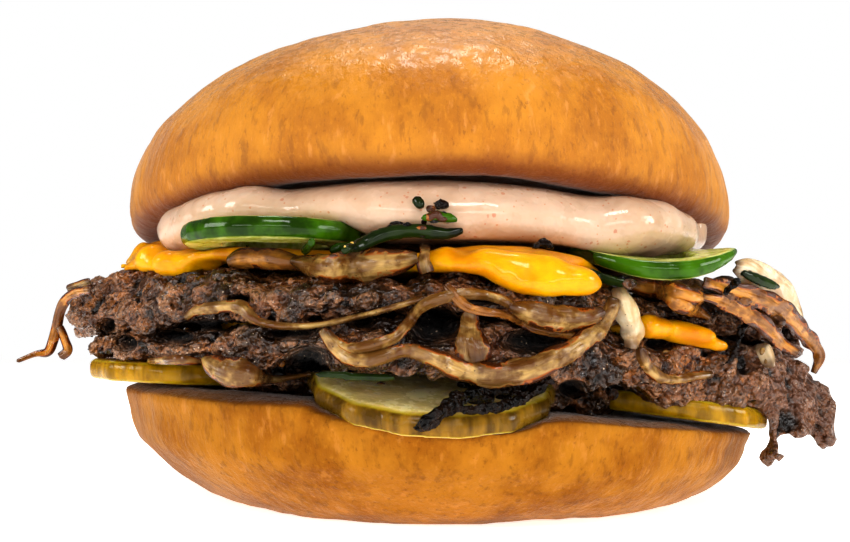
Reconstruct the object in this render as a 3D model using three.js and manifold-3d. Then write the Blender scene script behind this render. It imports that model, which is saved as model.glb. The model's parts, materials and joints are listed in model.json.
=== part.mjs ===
// A double smashed-patty hamburger in a glossy brioche bun, in millimetres with +Z up.
// The origin lies on the bottom bun's flat foot, under the burger's middle. The dressed front faces -Y.
// Angles go round the burger's axis in degrees, from 0 at the front towards +X at 90.
import * as THREE from "three";
import { mergeVertices } from "three/addons/utils/BufferGeometryUtils.js";
import Module from "manifold-3d";

const wasm = await Module();
wasm.setup();

// Driving dimensions
const BUN_RADIUS = 57;
const CROWN_TOP = 88.1;
const CROWN_LIP = 45.4; // lowest line of the top bun at the two sides
const FRONT_LIFT = 6.8; // how far the filling lifts that line at the front
const BACK_LIFT = 3;
const LIP_HEIGHT = 5.6; // from the lip up to the widest line of the top bun
const HEEL_RADIUS = 58;
const HEEL_CENTRE = 1.4; // the bottom bun sits slightly to the right
const HEEL_TOP = 18.6;
const FOOT_RADIUS = 43.6;
const CUT_FACE = 49.4; // underside of the top bun in the middle
const PICKLE_THICK = 3.4;
const PATTY_RADIUS = 61;
const LOWER_PATTY = { bottom: 23.4, top: 29.2 };
const UPPER_PATTY = { bottom: 31.4, top: 37 };
const CHEESE_SIDE = 86;
const CHEESE_THICK = 1.5;
const BED = { radius: 46, top: 43 };
const SAUCE_BOTTOM = 43.4;
const GAP = 0.3; // free space between neighbouring pieces
const LAID_GAP = 0.48; // free space under a strip that is laid on other pieces
const FINE = 0.1; // how far thinning out may move the skin of a small piece
const ROUGH = 0.25; // and of a patty or the onion bed

// Colours, roughness and metalness of each finish
const finish = (color, roughness) => new THREE.MeshStandardMaterial({ color, roughness, metalness: 0 });
const CRUST = finish(0xd9892b, 0.35);
const MEAT = finish(0x4a2e20, 0.6);
const CHEESE = finish(0xf7b30a, 0.3);
const SAUCE = finish(0xe6c3a0, 0.25);
const ONION = finish(0xb08a52, 0.3);
const BROWN_ONION = finish(0x8a4e1c, 0.35);
const CHAR = finish(0x1a1210, 0.3);
const GREEN = finish(0x3f6d0e, 0.25);
const DARK_GREEN = finish(0x1f3a1c, 0.25);
const PICKLE = finish(0x8f8420, 0.3);

// Small maths helpers
const clamp = (v, low, high) => Math.min(high, Math.max(low, v));
const mix = (a, b, t) => a + (b - a) * t;
const ease = (from, to, v) => {
  const t = clamp((v - from) / (to - from), 0, 1);
  return t * t * (3 - 2 * t);
};
const radians = (degrees) => (degrees * Math.PI) / 180;
const angleOf = (p) => (Math.atan2(p.x, -p.y) * 180) / Math.PI;
const around = (angle, radius, height) =>
  new THREE.Vector3(Math.sin(radians(angle)) * radius, -Math.cos(radians(angle)) * radius, height);

// Shortest difference of two angles, from 0 to 180
const apart = (a, b) => Math.abs(((((a - b) % 360) + 540) % 360) - 180);

// Sum of smooth bumps round the axis, each given as [angle, half width, amount]
const bumps = (angle, list) =>
  list.reduce((sum, [at, half, amount]) => sum + amount * (1 - ease(0, half, apart(angle, at))), 0);

// Smooth seeded noise from -1 to 1, whose lumps are about as large as size
const PRIMES = [374761393, 668265263, 2147483647, 97];
function hash(...cell) {
  const stirred = cell.reduce((h, n, i) => h ^ Math.imul(n, PRIMES[i]), 0);
  const h = Math.imul(stirred ^ (stirred >>> 13), 1274126177);
  return ((h ^ (h >>> 16)) >>> 0) / 2 ** 31 - 1;
}
function lumps(p, size, seed) {
  const [x, y, z] = [p.x / size, p.y / size, p.z / size];
  const [i, j, k] = [Math.floor(x), Math.floor(y), Math.floor(z)];
  const [u, v, w] = [ease(0, 1, x - i), ease(0, 1, y - j), ease(0, 1, z - k)];
  const row = (b, c) => mix(hash(i, j + b, k + c, seed), hash(i + 1, j + b, k + c, seed), u);
  return mix(mix(row(0, 0), row(1, 0), v), mix(row(0, 1), row(1, 1), v), w);
}

// Moves every vertex of a three.js geometry by a rule
function shaped(geometry, move) {
  const position = geometry.getAttribute("position");
  const p = new THREE.Vector3();
  for (let i = 0; i < position.count; i++) {
    p.fromBufferAttribute(position, i);
    move(p);
    position.setXYZ(i, p.x, p.y, p.z);
  }
  return geometry;
}

// A profile of [radius, height] points turned round the Z axis
const turned = (profile, segments) =>
  new THREE.LatheGeometry(
    profile.map(([r, h]) => new THREE.Vector2(r, h)),
    segments,
  ).rotateX(Math.PI / 2);

// A closed three.js geometry as a solid, for joining and cutting
function solidOf(geometry) {
  const bare = new THREE.BufferGeometry().setAttribute("position", geometry.getAttribute("position"));
  bare.setIndex(geometry.index);
  const welded = mergeVertices(bare, 1e-3);
  const faces = [];
  for (let i = 0; i < welded.index.count; i += 3) {
    const [a, b, c] = [0, 1, 2].map((n) => welded.index.getX(i + n));
    if (a !== b && b !== c && a !== c) faces.push(a, b, c);
  }
  return meshSolid(welded.getAttribute("position").array, faces);
}
const meshSolid = (vertProperties, faces) =>
  new wasm.Manifold(new wasm.Mesh({ numProp: 3, vertProperties, triVerts: new Uint32Array(faces) }));

// The solid as a three.js geometry again
function geometryOf(solid) {
  const { vertProperties, triVerts } = solid.getMesh();
  const geometry = new THREE.BufferGeometry();
  geometry.setAttribute("position", new THREE.BufferAttribute(Float32Array.from(vertProperties), 3));
  geometry.setIndex(new THREE.BufferAttribute(Uint32Array.from(triVerts), 1));
  geometry.computeVertexNormals();
  return geometry;
}

// The same solid with its skin moved outwards
function grown(solid, by) {
  const geometry = geometryOf(solid);
  const normal = geometry.getAttribute("normal");
  const position = geometry.getAttribute("position");
  for (let i = 0; i < position.count; i++) {
    position.setXYZ(
      i,
      position.getX(i) + normal.getX(i) * by,
      position.getY(i) + normal.getY(i) * by,
      position.getZ(i) + normal.getZ(i) * by,
    );
  }
  return meshSolid(position.array, geometry.index.array);
}

const boxesMeet = (a, b) => [0, 1, 2].every((i) => a.min[i] < b.max[i] && b.min[i] < a.max[i]);
const largest = (solid) => solid.decompose().sort((a, b) => b.volume() - a.volume())[0];

// Cuts a piece back until it is clear of its neighbours, drops scraps and thins out tiny triangles
function clearOf(solid, neighbours, coarse = FINE) {
  const box = solid.boundingBox();
  const near = neighbours
    .map((n) => grown(n.simplify(coarse), GAP + 1.6 * coarse))
    .filter((n) => boxesMeet(box, n.boundingBox()));
  const cut = near.reduce((rest, n) => rest.subtract(n), solid);
  return largest(cut.simplify(coarse));
}

// The burger is built from the bottom up, and every finished solid is kept by name
const burger = new THREE.Group();
const done = new Map();
function add(name, solid, material) {
  const mesh = new THREE.Mesh(geometryOf(solid), material.clone());
  mesh.name = name;
  burger.add(mesh);
  done.set(name, solid);
  return solid;
}
const pieces = (...names) => names.map((name) => done.get(name));

// Heights of the layers. The filling leans down to the right, and hangs over past the bun.
const rightFall = (x) => -0.0009 * Math.max(0, x) ** 2 - 0.14 * Math.max(0, x - 58);
const heelTop = (x) => HEEL_TOP - 0.045 * x - 0.0011 * Math.max(0, x) ** 2;
const lowerBottom = (x) => LOWER_PATTY.bottom + heelTop(x) - HEEL_TOP - 0.1 * Math.max(0, x - 58);
const lowerTop = (x) => LOWER_PATTY.top + rightFall(x);
const upperBottom = (x) => UPPER_PATTY.bottom + rightFall(x);
const upperTop = (x, y) => {
  const leftHump = 2.2 * (1 - ease(4, 22, Math.hypot(x + 44, y + 24)));
  const frontHump = 2.4 * (1 - ease(3, 20, Math.hypot(x - 13, y + 52)));
  const rim = y < 0 ? 1.4 : 0.6;
  const lean = 0.08 * x - 0.03 * Math.max(0, x);
  return UPPER_PATTY.top - lean + leftHump + frontHump - rim * ease(44, 60, Math.hypot(x, y));
};

// Pickles

// One pickle slice: a disc with a ridged skin, whose front may bend down over the bun's edge
function pickle({ at: [x, y], radius, lift, bendFrom = -Infinity, ridges = 14 }) {
  const half = PICKLE_THICK / 2;
  const profile = [
    [0, -half],
    [radius - 0.7, -half],
    [radius, 0.6 - half],
    [radius, half - 0.6],
    [radius - 0.7, half],
    [0, half],
  ];
  return solidOf(
    shaped(turned(profile, ridges * 2), (p) => {
      const turn = Math.atan2(p.y, p.x);
      const swell = 1 + 0.016 * Math.cos(ridges * turn) + 0.035 * Math.cos(2 * turn + x);
      p.set(p.x * swell + x, p.y * swell + y, p.z);
      p.z += heelTop(p.x) + half + GAP + lift - 0.34 * Math.max(0, bendFrom - p.y);
    }),
  );
}
const PICKLES = {
  pickle_front: { at: [0, -43.4], radius: 18.2, lift: 0.3, bendFrom: -46 },
  pickle_left: { at: [-42.6, -21], radius: 16.8, lift: 0.2 },
  pickle_right: { at: [38.6, -26], radius: 17.1, lift: 0.3 },
  pickle_back: { at: [24, 33], radius: 17.5, lift: 0.2 },
  pickle_back_left: { at: [-27, 36], radius: 18, lift: 0.2 },
};
for (const [name, spec] of Object.entries(PICKLES)) {
  add(name, clearOf(pickle(spec), [...done.values()]), PICKLE);
}
const pickles = pieces(...Object.keys(PICKLES));

// Bottom bun
function bottomBun() {
  const profile = [
    [0, 0],
    [FOOT_RADIUS * 0.6, 0],
    [FOOT_RADIUS, 0],
    [48.2, 2],
    [52.2, 5],
    [56.8, 9.8],
    [HEEL_RADIUS, 14],
    [57.3, 16.9],
    [55, HEEL_TOP],
    [47, HEEL_TOP],
    [26, HEEL_TOP],
    [0, HEEL_TOP],
  ];
  return solidOf(
    shaped(turned(profile, 35), (p) => {
      const rise = p.z / HEEL_TOP;
      const fuller = 1 + 0.012 * lumps(p, 24, 3) * ease(0, 0.3, rise);
      p.x = p.x * fuller + HEEL_CENTRE + 3 * (1 - ease(0, 0.6, rise));
      p.y *= fuller;
      if (rise === 0) return;
      const dish = 0.35 * ease(54, 46, Math.hypot(p.x - HEEL_CENTRE, p.y));
      p.z = rise * (heelTop(p.x) - dish);
    }),
  );
}
add("bun_bottom", clearOf(bottomBun(), pieces("pickle_front")), CRUST);

// Patties

// One smashed patty: a thin slab with a ragged rim. reach pushes the rim out, hang pulls its lower edge
// down, and swell lifts its upper edge, each as bumps round the axis.
function patty({ bottom, top, reach, hang, swell, seed }) {
  const profile = [
    [0, 0],
    [0.7, 0],
    [0.87, 0],
    [0.965, 0.06],
    [1, 0.36],
    [0.985, 0.68],
    [0.935, 0.95],
    [0.86, 1],
    [0.72, 1],
    [0, 1],
  ];
  return solidOf(
    shaped(turned(profile, 52), (p) => {
      const share = Math.hypot(p.x, p.y);
      const level = p.z;
      const angle = angleOf(p);
      const rim = ease(0.72, 0.97, share);
      const radius = share * mix(PATTY_RADIUS, PATTY_RADIUS + bumps(angle, reach), share);
      const spot = around(angle, radius, level * 7);
      const ragged = rim * (2.1 * lumps(spot, 9, seed) + 1.5 * lumps(spot, 5, seed + 1));
      const { x, y } = around(angle, radius + ragged, 0);
      const low = bottom(x, y) - bumps(angle, hang) * ease(0.86, 1, share);
      const high = top(x, y) + bumps(angle, swell) * ease(0.7, 0.9, share);
      const crag = rim * (0.8 * lumps(spot, 7, seed + 2) + 0.8 * lumps(spot, 4, seed + 3));
      p.set(x, y, mix(low, high, level) + crag);
    }),
  );
}

// Fingers of crisp crust that drip from the lower patty on the right:
// [angle, radius, top, tip, thickness]
const DRIPS = [
  [57.2, 66, 19, 7.8, 1.7],
  [60.6, 68.4, 20, 11.4, 2.1],
  [64, 70.2, 21, 12.6, 1.9],
  [67.6, 72, 20.6, 9.2, 2.1],
];
const drip = ([angle, radius, top, tip, thick]) =>
  solidOf(
    shaped(new THREE.CapsuleGeometry(thick, top - tip - 2 * thick, 2, 6).rotateX(Math.PI / 2), (p) => {
      const narrow = mix(1.15, 0.75, ease(tip, top, p.z + (top + tip) / 2));
      p.multiply(new THREE.Vector3(narrow, narrow, 1));
      p.add(around(angle + 0.25 * (p.z - 2), radius, (top + tip) / 2));
    }),
  );

const lowerPatty = DRIPS.map(drip).reduce(
  (meat, finger) => meat.add(finger),
  patty({
    bottom: lowerBottom,
    top: lowerTop,
    reach: [[-84, 44, 5], [72, 34, 12.8], [130, 30, 4], [-140, 34, 3], [40, 16, -2], [172, 40, -1]],
    hang: [
      [64, 26, 4.6], [-70, 34, 3.2], [-2, 8, 1.6], [19, 8, 3],
      [42, 20, 2.4], [150, 24, 2.4], [-140, 30, 1.6],
    ],
    swell: [[-84, 40, 1.4], [-4, 54, 2.1], [46, 22, 0.8], [76, 26, 0.8]],
    seed: 11,
  }),
);
add("patty_lower", clearOf(lowerPatty, [...pickles, ...pieces("bun_bottom")], ROUGH), MEAT);

// Cheese

// A square slice laid over a patty. Its corners are melted round by a share of their reach, given as bumps,
// and bend down where they pass the patty's edge.
function cheeseSlice({ centre: [x, y], turn, over, edge, steep, clip, cells }) {
  const bend = 4.2;
  return solidOf(
    shaped(new THREE.BoxGeometry(CHEESE_SIDE, CHEESE_SIDE, CHEESE_THICK, cells, cells, 1), (p) => {
      const layer = p.z + CHEESE_THICK / 2;
      const corner = Math.hypot(p.x, p.y) / (CHEESE_SIDE * Math.SQRT1_2);
      p.z = 0;
      p.applyAxisAngle(new THREE.Vector3(0, 0, 1), radians(turn));
      p.multiplyScalar(1 - bumps(angleOf(p), clip) * ease(0.76, 1, corner));
      p.add(new THREE.Vector3(x, y, 0));
      const angle = angleOf(p);
      const radius = Math.hypot(p.x, p.y);
      const past = Math.max(0, radius - edge(angle));
      const fold = clamp(past / bend, 0, radians(steep(angle)));
      const straight = Math.max(0, past - fold * bend);
      const out = radius - past + (bend + layer) * Math.sin(fold) + straight * Math.cos(fold);
      const down = bend - (bend + layer) * Math.cos(fold) + straight * Math.sin(fold);
      const place = around(angle, out, 0);
      p.set(place.x, place.y, over(place.x, place.y) - down);
    }),
  );
}
const lowerCheese = cheeseSlice({
  centre: [6, -1],
  turn: 0,
  over: (x) => lowerTop(x) + 0.3,
  edge: (angle) => 53.5 + bumps(angle, [[-45, 40, 6], [-135, 40, 6], [135, 40, 6]]),
  steep: (angle) => 40 - bumps(angle, [[46, 30, 30]]),
  clip: [[45, 40, 0.06], [-45, 40, 0.1], [135, 40, 0.06], [-135, 40, 0.06]],
  cells: 9,
});
add("cheese_lower", clearOf(lowerCheese, pieces("patty_lower")), CHEESE);

const upperPatty = patty({
  bottom: upperBottom,
  top: upperTop,
  reach: [[-88, 46, 9], [80, 40, 8.5], [40, 22, -3], [135, 28, 4], [-140, 30, 3], [180, 40, -1.5]],
  hang: [[-48, 50, 3.4], [-100, 50, 3], [12, 16, 1], [84, 34, 3.4], [140, 50, 2.6], [-160, 40, 2.4]],
  swell: [[-84, 36, -1], [58, 30, 1.7]],
  seed: 31,
});
add("patty_upper", clearOf(upperPatty, pieces("patty_lower", "cheese_lower"), ROUGH), MEAT);

const UPPER_SLICE = { centre: [-5.8, -8.6], turn: -22 };
const underUpperSlice = (x, y) => upperTop(x, y) + 0.75 + (y < 0 ? 1.5 * ease(46, 54, Math.hypot(x, y)) : 0);
const upperCheese = cheeseSlice({
  ...UPPER_SLICE,
  over: underUpperSlice,
  edge: (angle) => 54.6 + bumps(angle, [[-64, 30, -2.6]]),
  steep: (angle) => 78 - bumps(angle, [[-64, 40, 36]]),
  clip: [[23, 34, 0.08], [-67, 40, 0.14], [113, 40, 0.06], [-157, 40, 0.06]],
  cells: 11,
});
add("cheese_upper", clearOf(upperCheese, pieces("patty_upper")), CHEESE);

// Top bun
const lipAt = (angle) => {
  const front = Math.cos(radians(angle));
  const lean = -0.5 * Math.sin(radians(angle));
  const atFront = FRONT_LIFT * Math.max(0, front) ** 1.4;
  const atBack = BACK_LIFT * Math.max(0, -front) ** 1.4;
  return CROWN_LIP + lean + atFront + atBack;
};
const underside = (angle, radius) => mix(CUT_FACE, lipAt(angle) + 1.8, ease(24, 47, radius));

// The profile runs from the cut face round the rolled lip and over the dome. Below the widest line a
// height is counted from the lip, and above it a height is a share of the dome.
function topBun() {
  const domeSteps = 9;
  const dome = Array.from({ length: domeSteps + 1 }, (_, i) => {
    const t = (i / domeSteps) * (Math.PI / 2);
    return [BUN_RADIUS * Math.cos(t) ** 1.06, 100 + Math.sin(t)];
  });
  dome[domeSteps][0] = 0;
  const lip = [[0, 1.8], [28, 1.8], [46, 1.8], [49.4, 0.6], [52.6, 0], [55.4, 0.5], [56.8, 2.4]];
  return solidOf(
    shaped(turned([...lip, ...dome], 35), (p) => {
      const angle = angleOf(p);
      const radius = Math.hypot(p.x, p.y);
      const base = lipAt(angle);
      const onDome = p.z >= 100;
      const share = p.z - 100;
      const widest = base + LIP_HEIGHT;
      if (onDome) p.z = mix(widest, CROWN_TOP, share);
      else p.z = radius < 47 ? underside(angle, radius) : base + p.z;
      const uneven = 1 + 0.013 * lumps(p, 26, 7) * ease(40, 55, radius);
      p.multiply(new THREE.Vector3(uneven, uneven, 1));
      const high = clamp(share, 0, 1);
      p.x += 2 * high * high;
      p.z += 0.5 * lumps(p, 20, 8) * high;
    }),
  );
}
add("bun_top", topBun(), CRUST);

// Jalapenos

// A ring cut across a pepper, with its wall, three inner lobes and a small opening
function pepperRing({ at: [x, y, z], radius, thick, tip = 0, roll = 0 }) {
  const half = thick / 2;
  const hole = radius * 0.5;
  const profile = [
    [hole, -half],
    [radius - 0.5, -half],
    [radius, 0],
    [radius - 0.5, half],
    [hole, half],
    [hole, -half],
  ];
  const ring = shaped(turned(profile, 20), (p) => {
    const turn = Math.atan2(p.y, p.x);
    const inner = 1 - ease(hole, radius, Math.hypot(p.x, p.y));
    const lobe = 1 + (0.02 + 0.16 * inner) * Math.cos(3 * turn + x);
    p.multiply(new THREE.Vector3(lobe, lobe, 1));
  });
  return solidOf(ring.rotateX(radians(tip)).rotateY(radians(roll)).translate(x, y, z));
}
const RINGS = {
  jalapeno_left: { at: [-24.4, -44, 43.8], radius: 14.3, thick: 3.2, tip: -1 },
  jalapeno_right: { at: [34.6, -41, 40.1], radius: 13.4, thick: 2.9, tip: 10 },
  jalapeno_back: { at: [-12, 44, 43.6], radius: 13.4, thick: 3.2, tip: -4, roll: 3 },
  jalapeno_back_right: { at: [27, 39, 42.6], radius: 12.6, thick: 3.1, tip: -9, roll: 5 },
};
for (const [name, spec] of Object.entries(RINGS)) {
  add(name, clearOf(pepperRing(spec), [...done.values()]), GREEN);
}

// The room that a ring takes up in what lies round it, as a plain disc
const roomOf = ({ at: [x, y, z], radius, thick, tip = 0, roll = 0 }) =>
  solidOf(
    new THREE.CylinderGeometry(radius * 1.04 + GAP, radius * 1.04 + GAP, thick + 2 * GAP, 18)
      .rotateX(Math.PI / 2)
      .rotateX(radians(tip))
      .rotateY(radians(roll))
      .translate(x, y, z),
  );
const besideRings = (solid) =>
  Object.values(RINGS).reduce((rest, ring) => rest.subtract(roomOf(ring)), solid);

// Bed of fried onions between the cheese and the sauce. It fills the right side beside the cheese.
const onCheese = (x, y) => {
  const across = new THREE.Vector2(x - UPPER_SLICE.centre[0], y - UPPER_SLICE.centre[1]);
  across.rotateAround(new THREE.Vector2(), -radians(UPPER_SLICE.turn));
  return 1 - ease(-1, 3, Math.max(Math.abs(across.x), Math.abs(across.y)) - CHEESE_SIDE / 2);
};
function onionBed() {
  const profile = [[0, 0], [0.85, 0], [0.97, 0.12], [1, 0.5], [0.96, 0.9], [0.85, 1], [0, 1]];
  return solidOf(
    shaped(turned(profile, 24), (p) => {
      const angle = angleOf(p);
      const share = Math.hypot(p.x, p.y);
      const level = p.z;
      const radius = share * (BED.radius + share * bumps(angle, [[-24, 20, 6], [46, 44, 12], [-70, 20, -3]]));
      const spot = around(angle, radius, level * 4);
      const { x, y } = around(angle, radius + share * 1.4 * lumps(spot, 6, 51), 0);
      const lifted = Math.max(onCheese(x, y), 1 - ease(0.85, 0.97, share));
      const low = upperTop(x, y) + 0.9 + (CHEESE_THICK + 0.8) * lifted;
      const sink = bumps(angle, [[46, 50, 5.4], [-24, 24, 1.6]]) * ease(40, 47, radius);
      p.set(x, y, mix(Math.min(low, BED.top - sink - 1), BED.top - sink, level));
    }),
  );
}

// Sauce: a thick layer that bulges out below the lip at the front and, less, at the back
function sauceLayer() {
  const profile = [
    [0, 0],
    [0.88, 0],
    [0.97, 0.1],
    [1, 0.42],
    [0.98, 0.72],
    [0.93, 0.94],
    [0.85, 1],
    [0.55, 1],
    [0, 1],
  ];
  return solidOf(
    shaped(turned(profile, 36), (p) => {
      const angle = angleOf(p);
      const share = Math.hypot(p.x, p.y);
      const level = p.z;
      const front = 1 - ease(65, 78, Math.abs(angle));
      const back = 1 - ease(34, 58, apart(angle, 174));
      const reach = 46.5 + 8.8 * front + 6.2 * back + 0.5 * lumps(around(angle, 50, 0), 12, 61);
      const radius = share * reach;
      const droops = [[34, 30, 4], [-66, 15, 3.4], [8, 16, 2.4], [165, 24, 2.4]];
      const roof = underside(angle, Math.min(radius, 47)) - 0.8;
      const high = mix(roof, lipAt(angle) - 0.7, ease(42, 50, radius));
      const { x, y } = around(angle, radius, 0);
      const wave = 0.3 * ease(0.9, 1, share) * lumps(around(angle, radius, 0), 7, 62);
      const hung = SAUCE_BOTTOM + wave - bumps(angle, droops) * ease(50, 54, radius);
      const low = Math.max(hung, onCheese(x, y) * (underUpperSlice(x, y) + CHEESE_THICK + 0.5));
      p.set(x, y, mix(low, high, level));
    }),
  );
}

add("onion_bed", clearOf(besideRings(onionBed()), pieces("cheese_upper", "patty_upper"), ROUGH), ONION);
add("sauce", besideRings(sauceLayer()).simplify(FINE), SAUCE);

// Ribbons: strips and petals of fried onion, strips of pepper and crisps of charred crust

// Radius of the outermost surface on the ray from outside to the axis
const caster = new THREE.Raycaster();
function wallRadius(angle, height, walls) {
  const far = 120;
  caster.set(around(angle, far, height), around(angle, -1, 0).normalize());
  const hit = caster.intersectObjects(walls, false)[0];
  return hit ? far - hit.distance : 0;
}

// A strip of food along a route of [angle, height, lift] points. It lies against what it meets, lift away
// from it, and bridges hollows. The third number of a free strip is its radius instead. flare is the
// width at the end as a share of the width at the start, cup hollows the strip, and roll twists it.
function ribbon({
  route, width, thick, free, steps = 12, sides = 5, flare = 1, cup = 0, roll = 0, ends = 0.4,
}) {
  const walls = [...done.values()].map((solid) => new THREE.Mesh(geometryOf(solid)));
  const curve = new THREE.CatmullRomCurve3(route.map(([a, h, r = 0]) => new THREE.Vector3(a, h, r)));
  const spots = Array.from({ length: steps + 1 }, (_, i) => curve.getPoint(i / steps));
  const beside = (height) => [height - width * 0.3, height, height + width * 0.3];
  const radii = spots.map(({ x: angle, y: height, z }) =>
    free ? z : Math.max(...beside(height).map((h) => wallRadius(angle, h, walls))) + LAID_GAP + thick / 2 + z,
  );
  for (let round = 0; round < 4 && !free; round++) {
    for (let i = 1; i < steps; i++) radii[i] = Math.max(radii[i], (radii[i - 1] + radii[i + 1]) / 2);
  }
  const line = new THREE.CatmullRomCurve3(spots.map(({ x, y }, i) => around(x, radii[i], y)));
  return solidOf(
    shaped(new THREE.CylinderGeometry(1, 1, 1, sides, steps), (p) => {
      const t = clamp(p.y + 0.5, 0, 1);
      const centre = line.getPoint(t);
      const along = line.getTangent(t);
      const outward = new THREE.Vector3(centre.x, centre.y, 0).normalize();
      outward.addScaledVector(along, -outward.dot(along)).normalize();
      outward.applyAxisAngle(along, radians(roll) * (t - 0.5));
      const across = new THREE.Vector3().crossVectors(along, outward);
      const taper = mix(ends, 1, Math.sin(Math.PI * t) ** 0.6) * (1 + 0.16 * lumps(centre, 5, 1));
      const side = p.x * (width / 2) * taper * mix(1, flare, t);
      const depth = p.z * (thick / 2) * mix(0.7, 1, taper) - cup * p.x * p.x * taper;
      p.copy(centre).addScaledVector(across, side).addScaledVector(outward, depth);
    }),
  );
}

// Strips and petals that show between the cheese and the sauce
const TOPPINGS = {
  onion_petal_front: {
    route: [[-20, 38.9], [-15, 38.1], [-10.4, 37.8], [-5.4, 38.4], [-2.2, 39]],
    width: 5.2, thick: 1.5, cup: 0.5, sides: 6, material: ONION,
  },
  onion_petal_left: {
    route: [[-32.4, 39.8], [-28, 40.3], [-23, 40], [-20, 39.3]],
    width: 3.8, thick: 1.5, cup: 0.4, steps: 9, material: BROWN_ONION,
  },
  onion_petal_right: {
    route: [[28, 35.6], [34, 35], [39, 34.4], [44, 33.6]],
    width: 4.4, thick: 1.6, cup: 0.4, steps: 9, material: BROWN_ONION,
  },
  onion_petal_tall: {
    route: [[43, 38.7, 62.4], [50, 38.3, 63.6], [58, 37.1, 65.8], [65, 34.9, 67.6], [69, 31, 67.8]],
    width: 7.8, thick: 1.2, free: true, cup: 0.8, sides: 6, material: ONION,
  },
  jalapeno_strip: {
    route: [[-12.6, 40.2], [-11, 41.2], [-8.8, 42.5], [-6, 43.4], [-2, 43.6], [2.1, 43.1], [4.8, 43.7]],
    width: 2.6, thick: 1.8, material: DARK_GREEN,
  },
  jalapeno_cap: {
    route: [[-1.6, 45.2], [1.2, 45.5], [3.8, 45]],
    width: 1.9, thick: 1.8, steps: 5, material: GREEN,
  },
  jalapeno_tip: {
    route: [[-2.6, 48.4], [-1.9, 47.5], [-1.3, 46.8]],
    width: 2, thick: 1.8, steps: 4, ends: 0.6, material: DARK_GREEN,
  },
  charred_tip: {
    route: [[0.1, 47.2], [1.3, 47.6], [2.6, 47]],
    width: 1.7, thick: 1.6, steps: 5, ends: 0.6, material: BROWN_ONION,
  },
  jalapeno_dice_left: {
    route: [[-20.2, 41], [-18.4, 41.5], [-16.8, 41.9]],
    width: 2.2, thick: 1.7, steps: 4, ends: 0.7, material: GREEN,
  },
  jalapeno_dice_middle: {
    route: [[-15.8, 40.8], [-14.4, 41.4], [-13.2, 42]],
    width: 2, thick: 1.7, steps: 4, ends: 0.7, material: GREEN,
  },
  jalapeno_strip_right: {
    route: [[24, 38.2], [26.4, 36.9], [28.5, 35.7]],
    width: 2, thick: 1.5, steps: 6, material: DARK_GREEN,
  },
  jalapeno_strip_far_right: {
    route: [[46.6, 38.4, 65.4], [50.5, 37.3, 66.6], [54.5, 36.4, 67.8]],
    width: 2.3, thick: 1.5, steps: 6, free: true, material: DARK_GREEN,
  },
  charred_crumb_front: {
    route: [[14.6, 41.3], [16.4, 42], [18.4, 41.2]],
    width: 2.1, thick: 1.8, steps: 5, material: CHAR,
  },
  onion_petal_back: {
    route: [[150, 39.6], [160, 40], [170, 39.6], [178, 39]],
    width: 5, thick: 1.6, cup: 0.5, steps: 9, material: ONION,
  },
  onion_petal_back_left: {
    route: [[-142, 40.5], [-132, 41.4], [-122, 41]],
    width: 5, thick: 1.6, cup: 0.5, steps: 8, material: BROWN_ONION,
  },
};

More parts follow.
